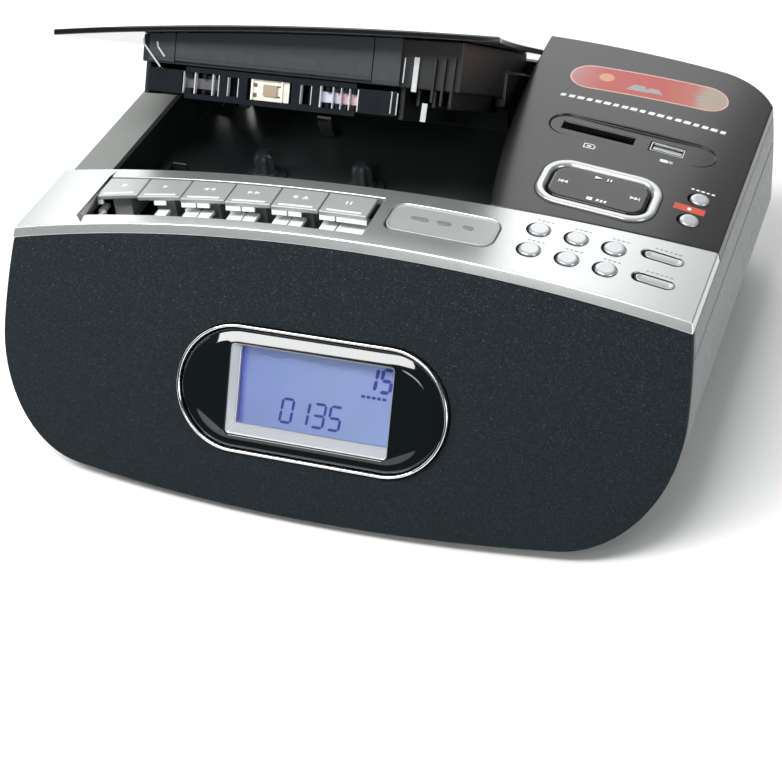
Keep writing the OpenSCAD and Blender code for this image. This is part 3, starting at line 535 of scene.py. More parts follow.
# black plastic of the inner parts, also used as painted shade in the gaps round the buttons and the pad
inner_black = moulded("inner_black", (0.01, 0.01, 0.01), 0.6)
chrome = metal("chrome", (0.88, 0.89, 0.90), 0.10)
display_silver = painted("display_silver", (0.50, 0.52, 0.55), 0.30, 0.4)
lcd_blue = backlit("lcd_blue")
lcd_ink = printed("lcd_ink", (0.030, 0.040, 0.22), 0.5, 0.35)
lens_clear = clear("lens_clear")
steel = metal("steel", (0.52, 0.53, 0.54), 0.3, (1, 14, 1))
bright_steel = metal("bright_steel", (0.82, 0.80, 0.75), 0.14, (1, 8, 1))
brass = metal("brass", (0.62, 0.48, 0.22), 0.22)
cone_paper = moulded("cone_paper", (0.03, 0.03, 0.03), 0.85, grain=500, depth=0.05)
rubber = moulded("rubber", (0.018, 0.018, 0.018), 0.75, grain=1500, depth=0.02)
key_silver = painted("key_silver", (0.45, 0.475, 0.47), 0.40, 0.3)
button_silver = painted("button_silver", (0.50, 0.515, 0.525), 0.24, 0.6)
# pale plastic of the comb, also used as the painted highlight on the deck keys' steps
comb_white_and_highlight = moulded("comb_white_and_highlight", (0.86, 0.87, 0.88), 0.38, grain=1400, depth=0.002)
pad_black = glossy("pad_black", (0.012, 0.012, 0.012), 0.12)
board_green = moulded("board_green", (0.015, 0.10, 0.035), 0.35, grain=200)
core_iron = moulded("core_iron", (0.20, 0.17, 0.13), 0.45, grain=400)
tape_black = moulded("tape_black", (0.008, 0.011, 0.015), 0.22, grain=900, depth=0.002)
reel_cream = moulded("reel_cream", (0.78, 0.75, 0.66), 0.4)
# pale plastic of the cassette's ribs, also used as painted highlights on the holder's cheeks
pale_rib_and_highlight = moulded("pale_rib_and_highlight", (0.55, 0.57, 0.58), 0.25)
tape_brown = glossy("tape_brown", (0.13, 0.12, 0.14), 0.2)
leader_pink = glossy("leader_pink", (0.70, 0.48, 0.54), 0.3)
leader_blue = glossy("leader_blue", (0.62, 0.64, 0.78), 0.3)
pad_cream = moulded("pad_cream", (0.86, 0.83, 0.70), 0.5)
felt_tan = moulded("felt_tan", (0.36, 0.29, 0.22), 0.9, grain=2500, depth=0.05)
# white print, also used as the painted highlights on the deck keys' icons
white_ink_and_highlight = printed("white_ink_and_highlight", (0.80, 0.81, 0.80), 0.5)
ink_grey = printed("ink_grey", (0.30, 0.31, 0.31), 0.5)
ink_red = printed("ink_red", (0.50, 0.060, 0.030), 0.4)
sticker_pale = printed("sticker_pale", (0.55, 0.33, 0.30), 0.3)
sticker_gold = printed("sticker_gold", (0.50, 0.24, 0.12), 0.3)
sticker_print = sticker_red("sticker_print")

finishes = {
    "shell_grey": shell_grey, "strip_silver": strip_silver, "frame_silver": frame_silver,
    "panel_black": gloss_black, "grille_cloth": grille_cloth, "deck_black": deck_black,
    "inner_black": inner_black, "chrome": chrome, "display_frame": display_silver,
    "clear_lens": lens_clear, "lcd_blue": lcd_blue, "steel": steel, "spring_steel": bright_steel,
    "brass": brass, "paper_cone": cone_paper, "rubber": rubber, "key_silver": key_silver,
    "pad_black": pad_black, "board_green": board_green, "core_iron": core_iron,
    "tape_black": tape_black, "reel_cream": reel_cream,
}

for node, piece in frame["nodes"].items():
    piece.data.materials.clear()
    piece.data.materials.append(finishes[slots[node]])


# ---- shells ----

refine("lower_shell", shell_grey, 0.6)
refine("upper_shell", shell_grey, 0.5, fields=(arch_normal,))
refine("control_strip", strip_silver, 0.5, 3, fields=(arch_normal,),
       plain=[top_place("button_%d" % k) for k in range(1, 7)])
refine("left_frame", frame_silver, 0.4, fields=(arch_normal,))
refine("top_panel", gloss_black, 0.5, 3, fields=(arch_normal,),
       plain=[top_place("standby_button"), top_place("record_button")])
refine("grille", grille_cloth, 0.7, 3, fields=(face_normal,))
refine("lid_skin", lid_black, 0.5, 3, fields=(lid_normal,))
refine("cassette_holder", holder_black, 0.6, 2)
refine("well_tray", deck_black, 0.5, 2)


# ---- display ----

def display_pieces():
    """Chrome ring, black surround, silver frame and digits."""
    place = flat(on_face(-0.5, -58.2))
    window = (62.8, 33.6)

    bm = bmesh.new()
    ring = [(0.0, -2.4), (0.0, 0.55), (0.12, 0.95), (0.4, 1.15), (0.75, 1.18), (1.05, 1.0), (1.25, 0.6),
            (1.3, 0.0), (1.3, -2.4)]
    stack(bm, (104, 46.8, 23.4), ring, place, n=28, ring=True)
    add("display_ring", bm, "bezel_ring", chrome, replaces=("bezel_ring",))

    bm = bmesh.new()
    # the surround slopes up evenly over the window and stays flatter under it
    rise = [(0.02, -2.6, -2.6), (0.02, -0.8, -0.8), (0.35, -0.3, -0.35), (0.8, 0.0, -0.02), (1.6, 0.40, 0.06),
            (2.4, 0.78, 0.13), (3.2, 1.14, 0.22), (4.1, 1.50, 0.36), (5.0, 1.80, 0.60)]
    loops = []
    for i, over, under in rise:
        loop = []
        for x, y in outline(101.2 - 2 * i, 44 - 2 * i, 22 - i, 28):
            w = min(1, max(0, (y + 8) / 20))
            loop.append(place((x, y, under + (over - under) * w * w * (3 - 2 * w))))
        loops.append(loop)
    for grow, radius, z in ((0.5, 2.2, 1.72), (0.15, 1.8, 1.62), (0.0, 1.6, 1.4), (0.0, 1.6, -7.8)):
        loops.append([place((x, y, z)) for x, y in outline(window[0] + grow, window[1] + grow, radius, 28)])
    loft(bm, loops, low_end=False, high_end=False)
    add("display_surround", bm, "lcd_bezel", bezel_black, replaces=("lcd_bezel",), split=40)

    # silver frame whose inner faces slope down to the display
    bm = bmesh.new()
    frame_loops = []
    steps = [(0.1, 0.1, 0.1, 0.1, 1.6, -2.0), (0.1, 0.1, 0.1, 0.1, 1.6, 0.9),
             (0.25, 0.25, 0.3, 0.3, 1.5, 1.15), (0.6, 0.4, 0.8, 0.5, 1.3, 1.0),
             (2.4, 0.9, 3.6, 1.1, 0.9, -2.0), (2.6, 1.0, 3.8, 1.2, 0.8, -1.75),
             (2.8, 1.1, 4.0, 1.3, 0.7, -2.0), (2.8, 1.1, 4.0, 1.3, 0.7, -3.9)]
    for left, right, low, high, radius, z in steps:
        w, h = window[0] - left - right, window[1] - low - high
        frame_loops.append([place((x + (left - right) / 2, y + (low - high) / 2, z))
                            for x, y in outline(w, h, radius, 4)])
    loft(bm, frame_loops, low_end=False, high_end=False)
    add("display_frame", bm, "lcd_frame", display_silver, replaces=("lcd_frame",), split=30)

    bm = bmesh.new()
    digits(bm, "15", 18.9, 6.3, 3.7, 8.2, 1.3, place)
    digits(bm, "0135", -12.4, -10.2, 4.2, 8.6, 0.95, place)
    for k in range(5):
        dash = rectangle(18.0 + 2.0 * k, 19.4 + 2.0 * k, 3.3, 4.3)
        polygon(bm, dash, place, low=DIGIT_LOW, high=DIGIT_HIGH)
    add("display_digits", bm, "lcd_module", lcd_ink)


SEGMENTS = {"0": "abcdef", "1": "bc", "3": "abcdg", "5": "acdfg"}


def digits(bm, text, x, y, w, h, t, place):
    """Seven-segment digits that lean to the right."""
    gap, lean = 0.16, 0.12
    for ch in text:
        runs = {"a": (0, h, w, h), "g": (0, h / 2, w, h / 2), "d": (0, 0, w, 0), "f": (0, h / 2, 0, h),
                "b": (w, h / 2, w, h), "e": (0, 0, 0, h / 2), "c": (w, 0, w, h / 2)}
        for segment in SEGMENTS[ch]:
            x0, y0, x1, y1 = runs[segment]
            a, b = Vector((x0, y0)), Vector((x1, y1))
            d = (b - a).normalized()
            side = Vector((-d.y, d.x)) * t / 2
            a, b = a + d * gap, b - d * gap
            points = [a, a + d * t / 2 - side, b - d * t / 2 - side,
                      b, b - d * t / 2 + side, a + d * t / 2 + side]
            polygon(bm, [(x + p.x + lean * p.y, y + p.y) for p in points], place,
                    low=DIGIT_LOW, high=DIGIT_HIGH)
        x += w + 2.0


display_pieces()


# ---- deck keys ----

KEY_NAMES = ("record", "play", "rewind", "forward", "stop", "pause")


def key_icons():
    """Icons for record, play, rewind, forward, stop with eject, and pause."""
    def triangle(x, side):
        return [(x - side * 1.1, -0.9), (x + side * 1.1, 0.0), (x - side * 1.1, 0.9)]

    def upright(x):
        return rectangle(x - 0.35, x + 0.35, -0.9, 0.9)

    twelfths = [math.radians(30 * k) for k in range(12)]
    return {
        "record": [[(math.cos(a), math.sin(a)) for a in twelfths]],
        "play": [triangle(0, 1)],
        "rewind": [triangle(-1.4, -1), triangle(1.4, -1)],
        "forward": [triangle(-1.4, 1), triangle(1.4, 1)],
        "stop": [rectangle(-2.9, -1.2, -0.8, 0.8), [(0.8, -0.3), (3.0, -0.3), (1.9, 1.0)],
                 rectangle(0.8, 3.0, -0.9, -0.55)],
        "pause": [upright(-0.8), upright(0.8)],
    }


def key_pieces():
    """Deck keys with a step along the front and an icon, both painted pale as highlights."""
    for i, (name, icon) in enumerate(key_icons().items()):
        node = "key_" + name
        refine(node, key_silver, 0.5, 3, fields=(arch_normal,))
        x = KEYS_X + (i + 0.5) * PITCH
        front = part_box(node)[0].y / MM
        place = arch_wrap(x, front, -0.2)
        # step along the front edge of the key, painted pale as a highlight
        bm = bmesh.new()
        stack(bm, (13.6, 0.9, 0.4), [(0, -0.3), (0.05, 0.16), (0.2, 0.24)],
              lambda p: place((p[0], p[1] + 1.5, p[2])), 4)
        add(node + "_step_highlight", bm, node, comb_white_and_highlight)
        # painted highlight: the icon is white where light catches its embossed shape
        bm = bmesh.new()
        for points in icon:
            polygon(bm, [(px, py + 7.0) for px, py in points], place, high=0.05)
        add(node + "_icon", bm, node, white_ink_and_highlight)


def comb_pieces():
    """Light teeth in front of and under the keys, with dark gaps between them."""
    wide = PITCH - 0.3
    teeth = [[(0.1, 2.4)], [(6.9, 12.0)]] + 3 * [[(0.3, 6.3), (6.9, 12.0)]] + [[(0.3, 6.3), (6.9, wide)]]
    curve = [(-48.0, 4.2), (-46.8, 4.75), (-45.4, 5.65), (-44.0, 6.4), (-42.5, 6.55),
             (-33.6, 6.55), (-33.6, 7.8), (-43.8, 7.8), (-48.0, 6.2)]
    bm = bmesh.new()
    for i, (key, runs) in enumerate(zip(KEY_NAMES, teeth)):
        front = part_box("key_" + key)[0].y / MM
        lip = [(front + 0.3, 1.5), (front + 0.05, 2.2), (front - 0.2, 3.0),
               (front - 0.45, 3.65), (front + 0.4, 3.7), (front + 1.2, 1.5)]
        lips = bmesh.new()
        for x0, x1 in runs:
            xs = [KEYS_X + i * PITCH + x0 + (x1 - x0) * k / 3 for k in range(4)]
            loft(bm, [[on_arch(x, y + (x * x / 5000 if y < -44.5 else 0), d) for y, d in curve] for x in xs])
            loft(lips, [[on_arch(x, y, d) for y, d in lip] for x in xs])
            if x0 < 1:
                # beside the key's stem the tooth runs further back
                top = top_at(xs[0])
                box(bm, (xs[0], -33.7, top - 7.9), (min(xs[3], xs[0] + 4.8), -28, top - 6.5), Vector)
        round_edges(lips, 0.18)
        add("key_%s_lip" % key, lips, "key_" + key, comb_white_and_highlight, split=45)
    round_edges(bm, 0.25)
    add("comb_teeth", bm, "key_comb", comb_white_and_highlight, replaces=("key_comb",), split=35)
    # dark floor seen through the gaps, and the end posts
    bm = bmesh.new()
    for k in range(12):
        a, b = KEYS_X + 6.1 * PITCH * k / 12, KEYS_X + 6.1 * PITCH * (k + 1) / 12
        box(bm, (a, -47.0, top_at(a) - 13.5), (b, -33.6, top_at(a) - 12.6), Vector)
    for x in (KEYS_X - 0.5, KEYS_X + 6 * PITCH + 0.3):
        box(bm, (x, -24, 66), (x + 1.6, -15.3, 76.2), Vector)
        box(bm, (x, -44, 66), (x + 1.6, -15.3, 68.5), Vector)
    add("comb_floor", bm, "key_comb", deck_black)


key_pieces()
comb_pieces()


# ---- buttons and pad ----

def button_pieces():
    """Round buttons and volume keys with a black ring of painted shade in the gap round each, and the snooze
    bar.
    """
    dome = [(0.05, -4.1), (0.05, 0.1), (0.12, 0.42), (0.34, 0.66), (0.75, 0.78), (1.5, 0.8)]
    gap_shade = [(-0.35, -3.2), (-0.35, 0.03), (-0.08, 0.03), (-0.08, -3.2)]
    round_buttons = [("button_%d" % k, 3.8) for k in range(1, 7)]
    round_buttons += [("standby_button", 3.5), ("record_button", 3.5)]
    for node, radius in round_buttons:
        x, y = top_place(node)
        bm = bmesh.new()
        stack(bm, (2 * radius, 2 * radius, radius), dome, arch_wrap(x, y), 10)
        add(node + "_cap_shape", bm, node, button_silver, replaces=(node,), split=60)
        # painted shade: a black ring in the gap round the button
        bm = bmesh.new()
        stack(bm, (2 * radius, 2 * radius, radius), gap_shade, arch_wrap(x, y), 10, ring=True)
        add(node + "_gap_shade", bm, "control_strip", inner_black, slot="inner_black")
    # volume keys: hollow along the middle, with raised ends
    volume_key = (13.6, 4.2, 2.1)
    cap = [(0.05, -4.9), (0.05, -0.1), (0.25, 0.12), (0.6, 0.22), (1.2, 0.26), (1.9, 0.27)]
    for node in ("volume_up", "volume_down"):
        x, y = top_place(node)
        bm = bmesh.new()
        place = arch_wrap(x, y)

        def dished(p):
            dish = 0.0 if p[2] < -1 else 0.5 * (p[0] / 6.8) ** 4 - 0.35
            return place((p[0], p[1], p[2] + dish))

        stack(bm, volume_key, cap, dished, 8)
        add(node + "_shape", bm, node, button_silver, replaces=(node,), split=60)
        # painted shade: a black ring in the gap round the volume key
        bm = bmesh.new()
        stack(bm, volume_key, gap_shade, place, 8, ring=True)
        add(node + "_gap_shade", bm, "control_strip", inner_black, slot="inner_black")
    # snooze bar with a raised rim
    x, y = top_place("snooze_button")
    bm = bmesh.new()
    raised = [(0.0, -4.0), (0.0, 0.15), (0.12, 0.36), (0.35, 0.42), (0.65, 0.34), (0.95, 0.12), (1.3, 0.06)]
    stack(bm, (39.4, 16.2, 5), raised, arch_wrap(x, y), 10)
    add("snooze_shape", bm, "snooze_button", key_silver, replaces=("snooze_button",), split=60)
    bm = bmesh.new()
    for k in range(3):
        pill(bm, (-9 + 9 * k, 0.6), 6.2 - 1.2 * k, 2.0, arch_wrap(x, y), 6, low=0.0, high=0.28)
    add("snooze_marks", bm, "snooze_button", button_silver)


def pad_pieces():
    """Four-way pad with its ring, a black ring of painted shade in the gap round them, and the pad's icons.
    """
    place = arch_wrap(82.5, 5)
    ring_shape = (44.5, 28, 10)
    bm = bmesh.new()
    ring = [(0.0, -2.9), (0.0, 0.3), (0.15, 0.65), (0.45, 0.9), (0.9, 0.98),
            (2.3, 0.98), (2.75, 0.8), (3.2, 0.3), (3.6, -0.5), (3.6, -2.9)]
    stack(bm, ring_shape, ring, place, 12, ring=True)
    add("pad_ring_shape", bm, "pad_ring", button_silver, replaces=("pad_ring",), split=45)
    bm = bmesh.new()
    # painted shade: a black ring in the gap round the pad's ring
    gap = [(-0.45, -1.0), (-0.45, 0.02), (-0.03, 0.02), (-0.03, -1.0)]
    stack(bm, ring_shape, gap, place, 12, ring=True)
    add("pad_gap", bm, "top_panel", inner_black, slot="inner_black")
    bm = bmesh.new()
    stack(bm, (35.9, 19.4, 5.7), [(0, -2.4), (0, -0.1), (0.2, 0.22), (0.6, 0.4), (1.4, 0.48)], place, 10)
    stack(bm, (8, 6, 0.3), [(0, -9.9), (0, -2.0)], place, 2)
    add("pad_shape", bm, "nav_pad", pad_black, replaces=("nav_pad",), split=55)
    bm = bmesh.new()

    def mark(points, x, y):
        polygon(bm, [(px + x, py + y) for px, py in points], place, low=0.44, high=0.54)

    for side, x in ((-1, -13.2), (1, 13.2)):
        for k in (-0.9, 0.7):
            mark([(k - side * 0.8, -0.9), (k + side * 0.8, 0), (k - side * 0.8, 0.9)], x, 0)
        mark(rectangle(side * 1.7 - 0.15, side * 1.7 + 0.15, -0.9, 0.9), x, 0)
    mark([(-1.6, -0.8), (1.2, 0), (-1.6, 0.8)], -1.6, 6.8)
    for k in (1.6, 2.8):
        mark(rectangle(k - 0.25, k + 0.25, -0.8, 0.8), 0, 6.8)
    mark(rectangle(-1.1, 1.0, -0.9, 0.9), -1.8, -6.8)
    for k in range(3):
        mark([(1.4 * k, -0.7), (1.4 * k + 0.9, -0.7), (1.4 * k + 1.1, 0.7), (1.4 * k + 0.2, 0.7)], 0.6, -6.8)
    add("pad_marks", bm, "nav_pad", white_ink_and_highlight)


button_pieces()
pad_pieces()


# ---- printing on the top ----

def printing():
    """Marks printed on the top, the red label and the sticker."""
    def ticks(name, at, count, pitch, w, h, mat, like):
        """A row of slanted dashes of slightly different lengths."""
        bm = bmesh.new()
        place = arch_wrap(at[0], at[1])
        for k in range(count):
            x = (k - (count - 1) / 2) * pitch
            width = w * (0.8 + 0.25 * ((k * 7) % 3) / 2)
            polygon(bm, [(x - width / 2, -h / 2), (x + width / 2, -h / 2), (x + width / 2 + 0.2 * h, h / 2),
                         (x - width / 2 + 0.2 * h, h / 2)], place, high=0.025)
        add(name, bm, like, mat)

    # a plain dashed line stands for the line of words on the panel
    ticks("panel_dashes", (84.4, 62.4), 19, 3.5, 2.5, 1.9, white_ink_and_highlight, "top_panel")
    ticks("standby_dashes", (116.8, 21.2), 5, 1.9, 1.3, 0.8, white_ink_and_highlight, "top_panel")
    for k, (x, y) in enumerate([top_place("button_%d" % i) for i in range(1, 7)]):
        ticks("button_dashes_%d" % (k + 1), (x + 0.8, y + 5.6), 4, 1.7, 1.15, 0.7, ink_grey, "control_strip")
    for k, node in enumerate(("volume_up", "volume_down")):
        x, y = top_place(node)
        ticks("volume_dashes_%d" % (k + 1), (x + 0.6, y + 4.2), 6, 1.7, 1.15, 0.7, ink_grey, "control_strip")

    # outline of a card, and a plug, by their slots
    bm = bmesh.new()
    place = arch_wrap(72, 31.2)
    sides = ((-2.2, 1.4, 1.1, 1.5), (-2.2, 2.2, -1.5, -1.1), (-2.2, -1.8, -1.5, 1.5), (1.8, 2.2, -1.5, 0.6))
    for side in sides:
        polygon(bm, rectangle(*side), place, high=0.03)
    polygon(bm, [(1.1, 1.5), (1.1, 1.1), (1.9, 0.3), (2.2, 0.6)], place, high=0.03)
    polygon(bm, rectangle(-0.9, 0.7, -0.5, 0.4), place, high=0.03)
    add("card_mark", bm, "top_panel", white_ink_and_highlight)
    bm = bmesh.new()
    place = arch_wrap(100.5, 33.4)
    for part in ((-2.4, 0.6, -0.85, 0.85), (0.85, 2.4, 0.25, 0.6), (0.85, 2.4, -0.6, -0.25)):
        polygon(bm, rectangle(*part), place, high=0.03)
    add("plug_mark", bm, "top_panel", white_ink_and_highlight)

    # red label with a dot
    bm = bmesh.new()
    place = arch_wrap(114.6, 8.6)
    stack(bm, (11.4, 3.7, 0.5), [(0, -0.02), (0, 0.04)], place, 3)
    add("record_label", bm, "top_panel", ink_red)
    bm = bmesh.new()
    pill(bm, (0, 0), 1.5, 1.5, place, 6, low=0.0, high=0.07)
    add("record_dot", bm, "top_panel", white_ink_and_highlight)

    # oval sticker, stuck on at a slight angle
    panel_place = arch_wrap(82.8, 80.6)
    tilt = Matrix.Rotation(math.radians(4.4), 3, "Z")

    def place(p):
        return panel_place(tilt @ Vector(p))

    bm = bmesh.new()
    pill(bm, (0, 0), 62.5, 17.4, place, 14, high=0.05)
    add("sticker_border", bm, "top_panel", sticker_pale)
    bm = bmesh.new()
    pill(bm, (0, 0), 61, 15.9, place, 14, low=0.0, high=0.08)
    add("sticker_face", bm, "top_panel", sticker_print)
    # a plain sun and hills stand for the printed picture
    bm = bmesh.new()
    pill(bm, (-17, 1.2), 6, 6, place, 5, low=0.0, high=0.1)
    add("sticker_sun", bm, "top_panel", sticker_gold)
    bm = bmesh.new()
    for x, y, w, h in ((-4, -2.6, 9, 4.2), (2, -2.8, 8, 3.2), (21.5, 0.4, 7, 1.1), (21, -2.4, 5.5, 1.1)):
        hill = [(x - w / 2, y - h / 2), (x + w / 2, y - h / 2),
                (x + w / 4, y + h / 2), (x - w / 5, y + h / 2)]
        polygon(bm, hill, place, low=0.0, high=0.1)
    add("sticker_hills", bm, "top_panel", ink_grey)


printing()


# ---- deck ----

def deck_pieces():
    """Spindles and leaf spring of the well."""
    # spindles: a toothed post on a wide disc, with a rounded cap
    for node in ("spindle_left", "spindle_right"):
        low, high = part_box(node)
        x, y = (low.x + high.x) / 2 / MM, (low.y + high.y) / 2 / MM
        bm = bmesh.new()

        def ring_at(radius, z, teeth=0.0):
            points = []
            for k in range(48):
                a = 2 * math.pi * k / 48
                reach = radius - teeth * (0.5 - 0.5 * math.cos(6 * a))
                points.append(Vector((x + reach * math.cos(a), y + reach * math.sin(a), z)))
            return points

        disc = [(8.4, 56.85), (8.4, 57.6), (7.9, 57.95), (5.6, 58.1), (5.3, 59.2), (4.6, 59.6)]
        post = [(4.3, 59.8, 1.1), (4.3, 65.6, 1.1), (3.9, 66.6, 0.8), (3.0, 67.6, 0.3)]
        cap = [(2.7, 67.9), (2.5, 68.5), (1.7, 68.75)]
        loft(bm, [ring_at(*row) for row in disc + post + cap])
        add(node + "_shape", bm, node, deck_black, replaces=(node,), split=35)
    # the leaf spring behind the cassette
    bm = bmesh.new()
    path = [(69.2, 56.9), (65.0, 56.9), (63.6, 57.3), (62.7, 58.4), (62.1, 60.4), (61.6, 62.6),
            (61.3, 64.8), (61.4, 66.6), (61.9, 67.9), (62.8, 68.5), (63.6, 68.2)]
    rows = []
    for k, (y, z) in enumerate(path):
        ahead, behind = path[min(k + 1, len(path) - 1)], path[max(k - 1, 0)]
        d = Vector((ahead[0] - behind[0], ahead[1] - behind[1])).normalized() * 0.25
        half = 4.4 if k < 2 else 3.0
        rows.append([Vector((-49 - half, y - d.y, z + d.x)), Vector((-49 + half, y - d.y, z + d.x)),
                     Vector((-49 + half, y + d.y, z - d.x)), Vector((-49 - half, y + d.y, z - d.x))])
    loft(bm, rows)
    add("leaf_spring", bm, "spring_clip", bright_steel, replaces=("spring_clip",), split=60)


def cassette_pieces():
    """Tape, ribs, pressure pad, labels and screws that show in the cassette's shell."""
    place = flat(CASSETTE)

    def plates(name, mat, blocks, slot=None, rounding=0.0):
        bm = bmesh.new()
        for low, high in blocks:
            box(bm, low, high, place)
        if rounding:
            round_edges(bm, rounding)
        add(name, bm, "cassette_shell", mat, slot=slot)

    plates("tape_run", tape_brown, [((-35.4, 2.2, -1.9), (-20.4, 2.5, 1.9))])
    plates("tape_leader_blue", leader_blue, [((20.4, 2.2, -1.9), (27.0, 2.5, 1.9))])
    plates("tape_leader_pink", leader_pink, [((27.0, 2.2, -1.9), (35.4, 2.5, 1.9))])
    ribs = [(-35.3, 0.3), (-30.6, 0.45), (-23.2, 0.45), (-20.7, 0.3), (-17.0, 0.35), (-12.7, 0.35),
            (12.6, 0.3), (16.9, 0.35), (20.5, 0.45), (25.4, 0.35), (28.6, 0.3), (31.9, 0.35), (35.3, 0.45)]
    plates("cassette_ribs", pale_rib_and_highlight, [((x - w / 2, 0.1, -3.9), (x + w / 2, 2.1, 3.9)) for x, w in ribs],
           slot="reel_cream")
    dark = [(-33.2, 2.3), (-27.0, 1.6), (23.2, 1.5), (27.2, 1.2), (30.4, 1.2), (33.4, 1.4)]
    plates("cassette_webs", tape_black, [((x - w / 2, 0.6, 2.1 * s), (x + w / 2, 2.1, 3.9 * s))
                                         for x, w in dark for s in (-1, 1)])
    plates("pad_carrier", pad_cream,
           [((-7.6, 1.3, -3.8), (7.6, 1.9, 3.8)), ((-7.6, 0.5, -3.8), (-6.8, 1.4, 3.8)),
            ((4.6, 0.5, -3.8), (5.2, 1.4, 3.8))], slot="reel_cream", rounding=0.15)
    plates("pressure_pad", felt_tan, [((-2.6, 0.4, -1.9), (2.9, 1.35, 2.2))], slot="reel_cream", rounding=0.3)
    plates("pad_spring", tape_brown,
           [((-6.9, 1.1, -2.7), (-5.4, 1.35, -1.2)), ((-6.9, 1.1, 1.0), (-5.4, 1.35, 2.4)),
            ((2.9, 1.1, 1.6), (4.6, 1.35, 2.1)), ((2.9, 1.1, -2.2), (4.6, 1.35, -1.7))])
    # plain label and hub window on both faces
    for side, face in (("top", 4.35), ("bottom", -4.35)):
        low, high = sorted((face, face + math.copysign(0.06, face)))
        plates("label_" + side, ink_grey,
               [((-44, 18, low), (44, 27, high)), ((-44, 43, low), (44, 57, high)),
                ((-44, 27, low), (-28, 43, high)), ((28, 27, low), (44, 43, high))], slot="tape_black")
    plates("cassette_screws", steel, [((x - 1.1, y - 1.1, 4.3), (x + 1.1, y + 1.1, 4.5))
                                      for x in (-47.4, 47.4) for y in (5, 59)], slot="steel", rounding=0.1)


def lid_pieces():
    """Inner panel of the lid and painted highlights along the edges of its cheeks, in the closed lid's place.
    """
    place = flat(LID)

    def lid_under(x):
        return LID_C.y + math.sqrt((LID_R - 2.25) ** 2 - (x - LID_C.x) ** 2)

    # smooth inner panel with a rounded lower edge
    for name, x0, x1, low in (("lid_panel", -80, -1.2, 70.9), ("lid_panel_right", -0.8, 9.6, 69.9),
                              ("lid_panel_left", -91, -80.4, 70.4)):
        bm = bmesh.new()
        rows = []
        for k in range(9):
            x = x0 + (x1 - x0) * k / 8
            top = lid_under(x) - 0.15
            section = [(-6.1, low), (-6.7, low), (-7.3, low + 0.3), (-7.7, low + 0.9), (-7.8, low + 1.8),
                       (-7.8, top), (-6.1, top)]
            rows.append([place((x, y, z)) for y, z in section])
        loft(bm, rows)
        round_edges(bm, 0.15, 2, 50)
        add(name, bm, "cassette_holder", apron_grey, split=40)

    def strips(name, mat, paths, width, y, depth=0.4):
        """Flat strips along paths of (x, z), in front of the holder."""
        bm = bmesh.new()
        for path in paths:
            for (xa, za), (xb, zb) in zip(path, path[1:]):
                d = Vector((xb - xa, zb - za)).normalized() * width / 2
                corners = [(xa - d.x + d.y, za - d.y - d.x), (xb + d.x + d.y, zb + d.y - d.x),
                           (xb + d.x - d.y, zb + d.y + d.x), (xa - d.x - d.y, za - d.y + d.x)]
                polygon(bm, corners, lambda p: place((p[0], y - p[2], p[1])), low=0.0, high=depth)
        add(name, bm, "cassette_holder", mat, slot="reel_cream")

    # painted highlights: pale strips along the edges of the holder's black cheeks
    strips("cheek_slit_highlights", pale_rib_and_highlight, [[(-93.4, 78.0), (-93.2, 76.2), (-86.0, 68.6)],
                                      [(-87.6, 77.2), (-87.2, 75.6), (-84.4, 72.4)]], 0.55, -7.85)
    strips("cheek_edge_highlights", pale_rib_and_highlight, [[(11.2, 80.2), (11.0, 71.6)], [(7.4, 67.8), (7.2, 60.2)],
                                      [(9.6, 67.4), (9.5, 60.0)]], 0.35, -7.2)
    strips("cheek_tab_highlight", pale_rib_and_highlight, [[(15.4, 80.0), (15.2, 69.6)]], 1.9, -6.6)
    strips("cheek_foot_highlight", pale_rib_and_highlight, [[(19.4, 64.0), (19.2, 59.4)]], 2.0, -5.0)
    strips("cheek_lines", holder_black, [[(22.6, 80.6), (22.2, 66.0)], [(26.2, 81.0), (25.8, 65.0)],
                                         [(29.8, 81.4), (29.4, 66.0)]], 0.8, -6.3, 1.2)


deck_pieces()
cassette_pieces()
lid_pieces()
for small in ("mains_inlet", "headphone_jack", "battery_door", "feet"):
    refine(small, finishes[slots[small]], 0.25, 2)


# ---- camera, light and floor ----

def look(position, direction, roll):
    """Camera matrix for a direction of view and a turn about it."""
    forward = Vector(direction).normalized()
    right = forward.cross(Vector((0, 0, 1))).normalized()
    up = right.cross(forward)
    turned = Matrix.Rotation(roll, 3, forward)
    right, up = turned @ right, turned @ up
    matrix = Matrix((right, up, -forward)).transposed().to_4x4()
    matrix.translation = position
    return matrix


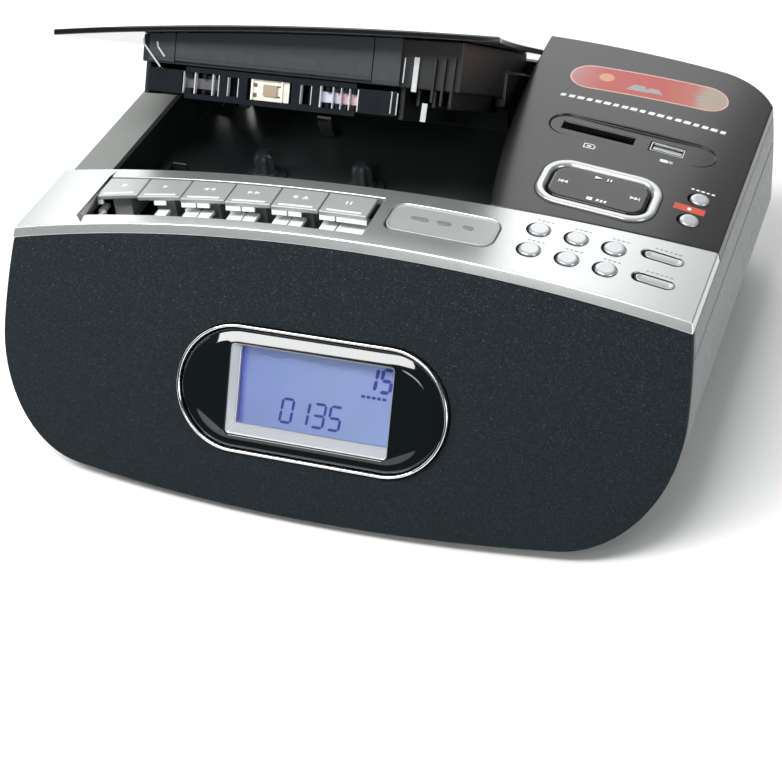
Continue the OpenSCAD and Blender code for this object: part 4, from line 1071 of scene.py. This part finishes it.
camera_data = bpy.data.cameras.new("camera")
camera_data.lens = 80.55
camera_data.sensor_width = 36
camera = bpy.data.objects.new("camera", camera_data)
bpy.context.scene.collection.objects.link(camera)
camera.matrix_world = look(Vector((0.2233, -0.5103, 0.4320)), (-0.3186, 0.7117, -0.6262), math.radians(6.5))
bpy.context.scene.camera = camera


def softbox(name, position, size, radiance):
    """Rectangular light aimed at the object; its first side is square to the front-to-back axis."""
    light = bpy.data.lights.new(name, "AREA")
    light.shape = "RECTANGLE"
    light.size, light.size_y = size
    light.energy = radiance * math.pi * size[0] * size[1]
    lamp = bpy.data.objects.new(name, light)
    bpy.context.scene.collection.objects.link(lamp)
    back = (Vector(position) - Vector((0, 0, 0.05))).normalized()
    across = Vector((0, 1, 0)).cross(back).normalized()
    lamp.matrix_world = Matrix((across, back.cross(across), back)).transposed().to_4x4()
    lamp.matrix_world.translation = position


softbox("key_strip", (-0.42, -0.54, 1.19), (1.2, 0.36), 15)
softbox("overhead", (0.1, 0.3, 1.6), (1.8, 1.5), 0.75)
softbox("back_left", (-0.95, 1.25, 0.95), (1.0, 0.9), 3.0)
softbox("back_middle", (-0.12, 1.35, 0.95), (0.65, 0.9), 2.1)
softbox("back_right", (0.5, 1.35, 0.95), (0.5, 0.9), 0.4)
softbox("left_panel", (-1.3, 0.1, 0.5), (0.8, 0.9), 2.0)
softbox("right_panel", (1.2, -0.45, 0.12), (1.0, 0.5), 5.0)
softbox("well_fill", (0.02, -0.62, 0.55), (0.22, 0.16), 6)

floor_mesh = bpy.data.meshes.new("floor")
floor_mesh.from_pydata([(-6, -6, 0), (6, -6, 0), (6, 6, 0), (-6, 6, 0)], [], [(0, 1, 2, 3)])
floor = bpy.data.objects.new("floor", floor_mesh)
bpy.context.scene.collection.objects.link(floor)
floor_surface = Surface("floor_white", Roughness=0.9)
floor_surface.color(floor_surface.noise(3, 2), (0.90, 0.90, 0.90), 0.01)
floor_mesh.materials.append(floor_surface.mat)

world = bpy.data.worlds.new("studio")
bpy.context.scene.world = world
world.use_nodes = True
world.node_tree.nodes["Background"].inputs["Color"].default_value = (0.95, 0.97, 1.0, 1)
world.node_tree.nodes["Background"].inputs["Strength"].default_value = 0.10
bpy.context.scene.view_settings.view_transform = "Standard"
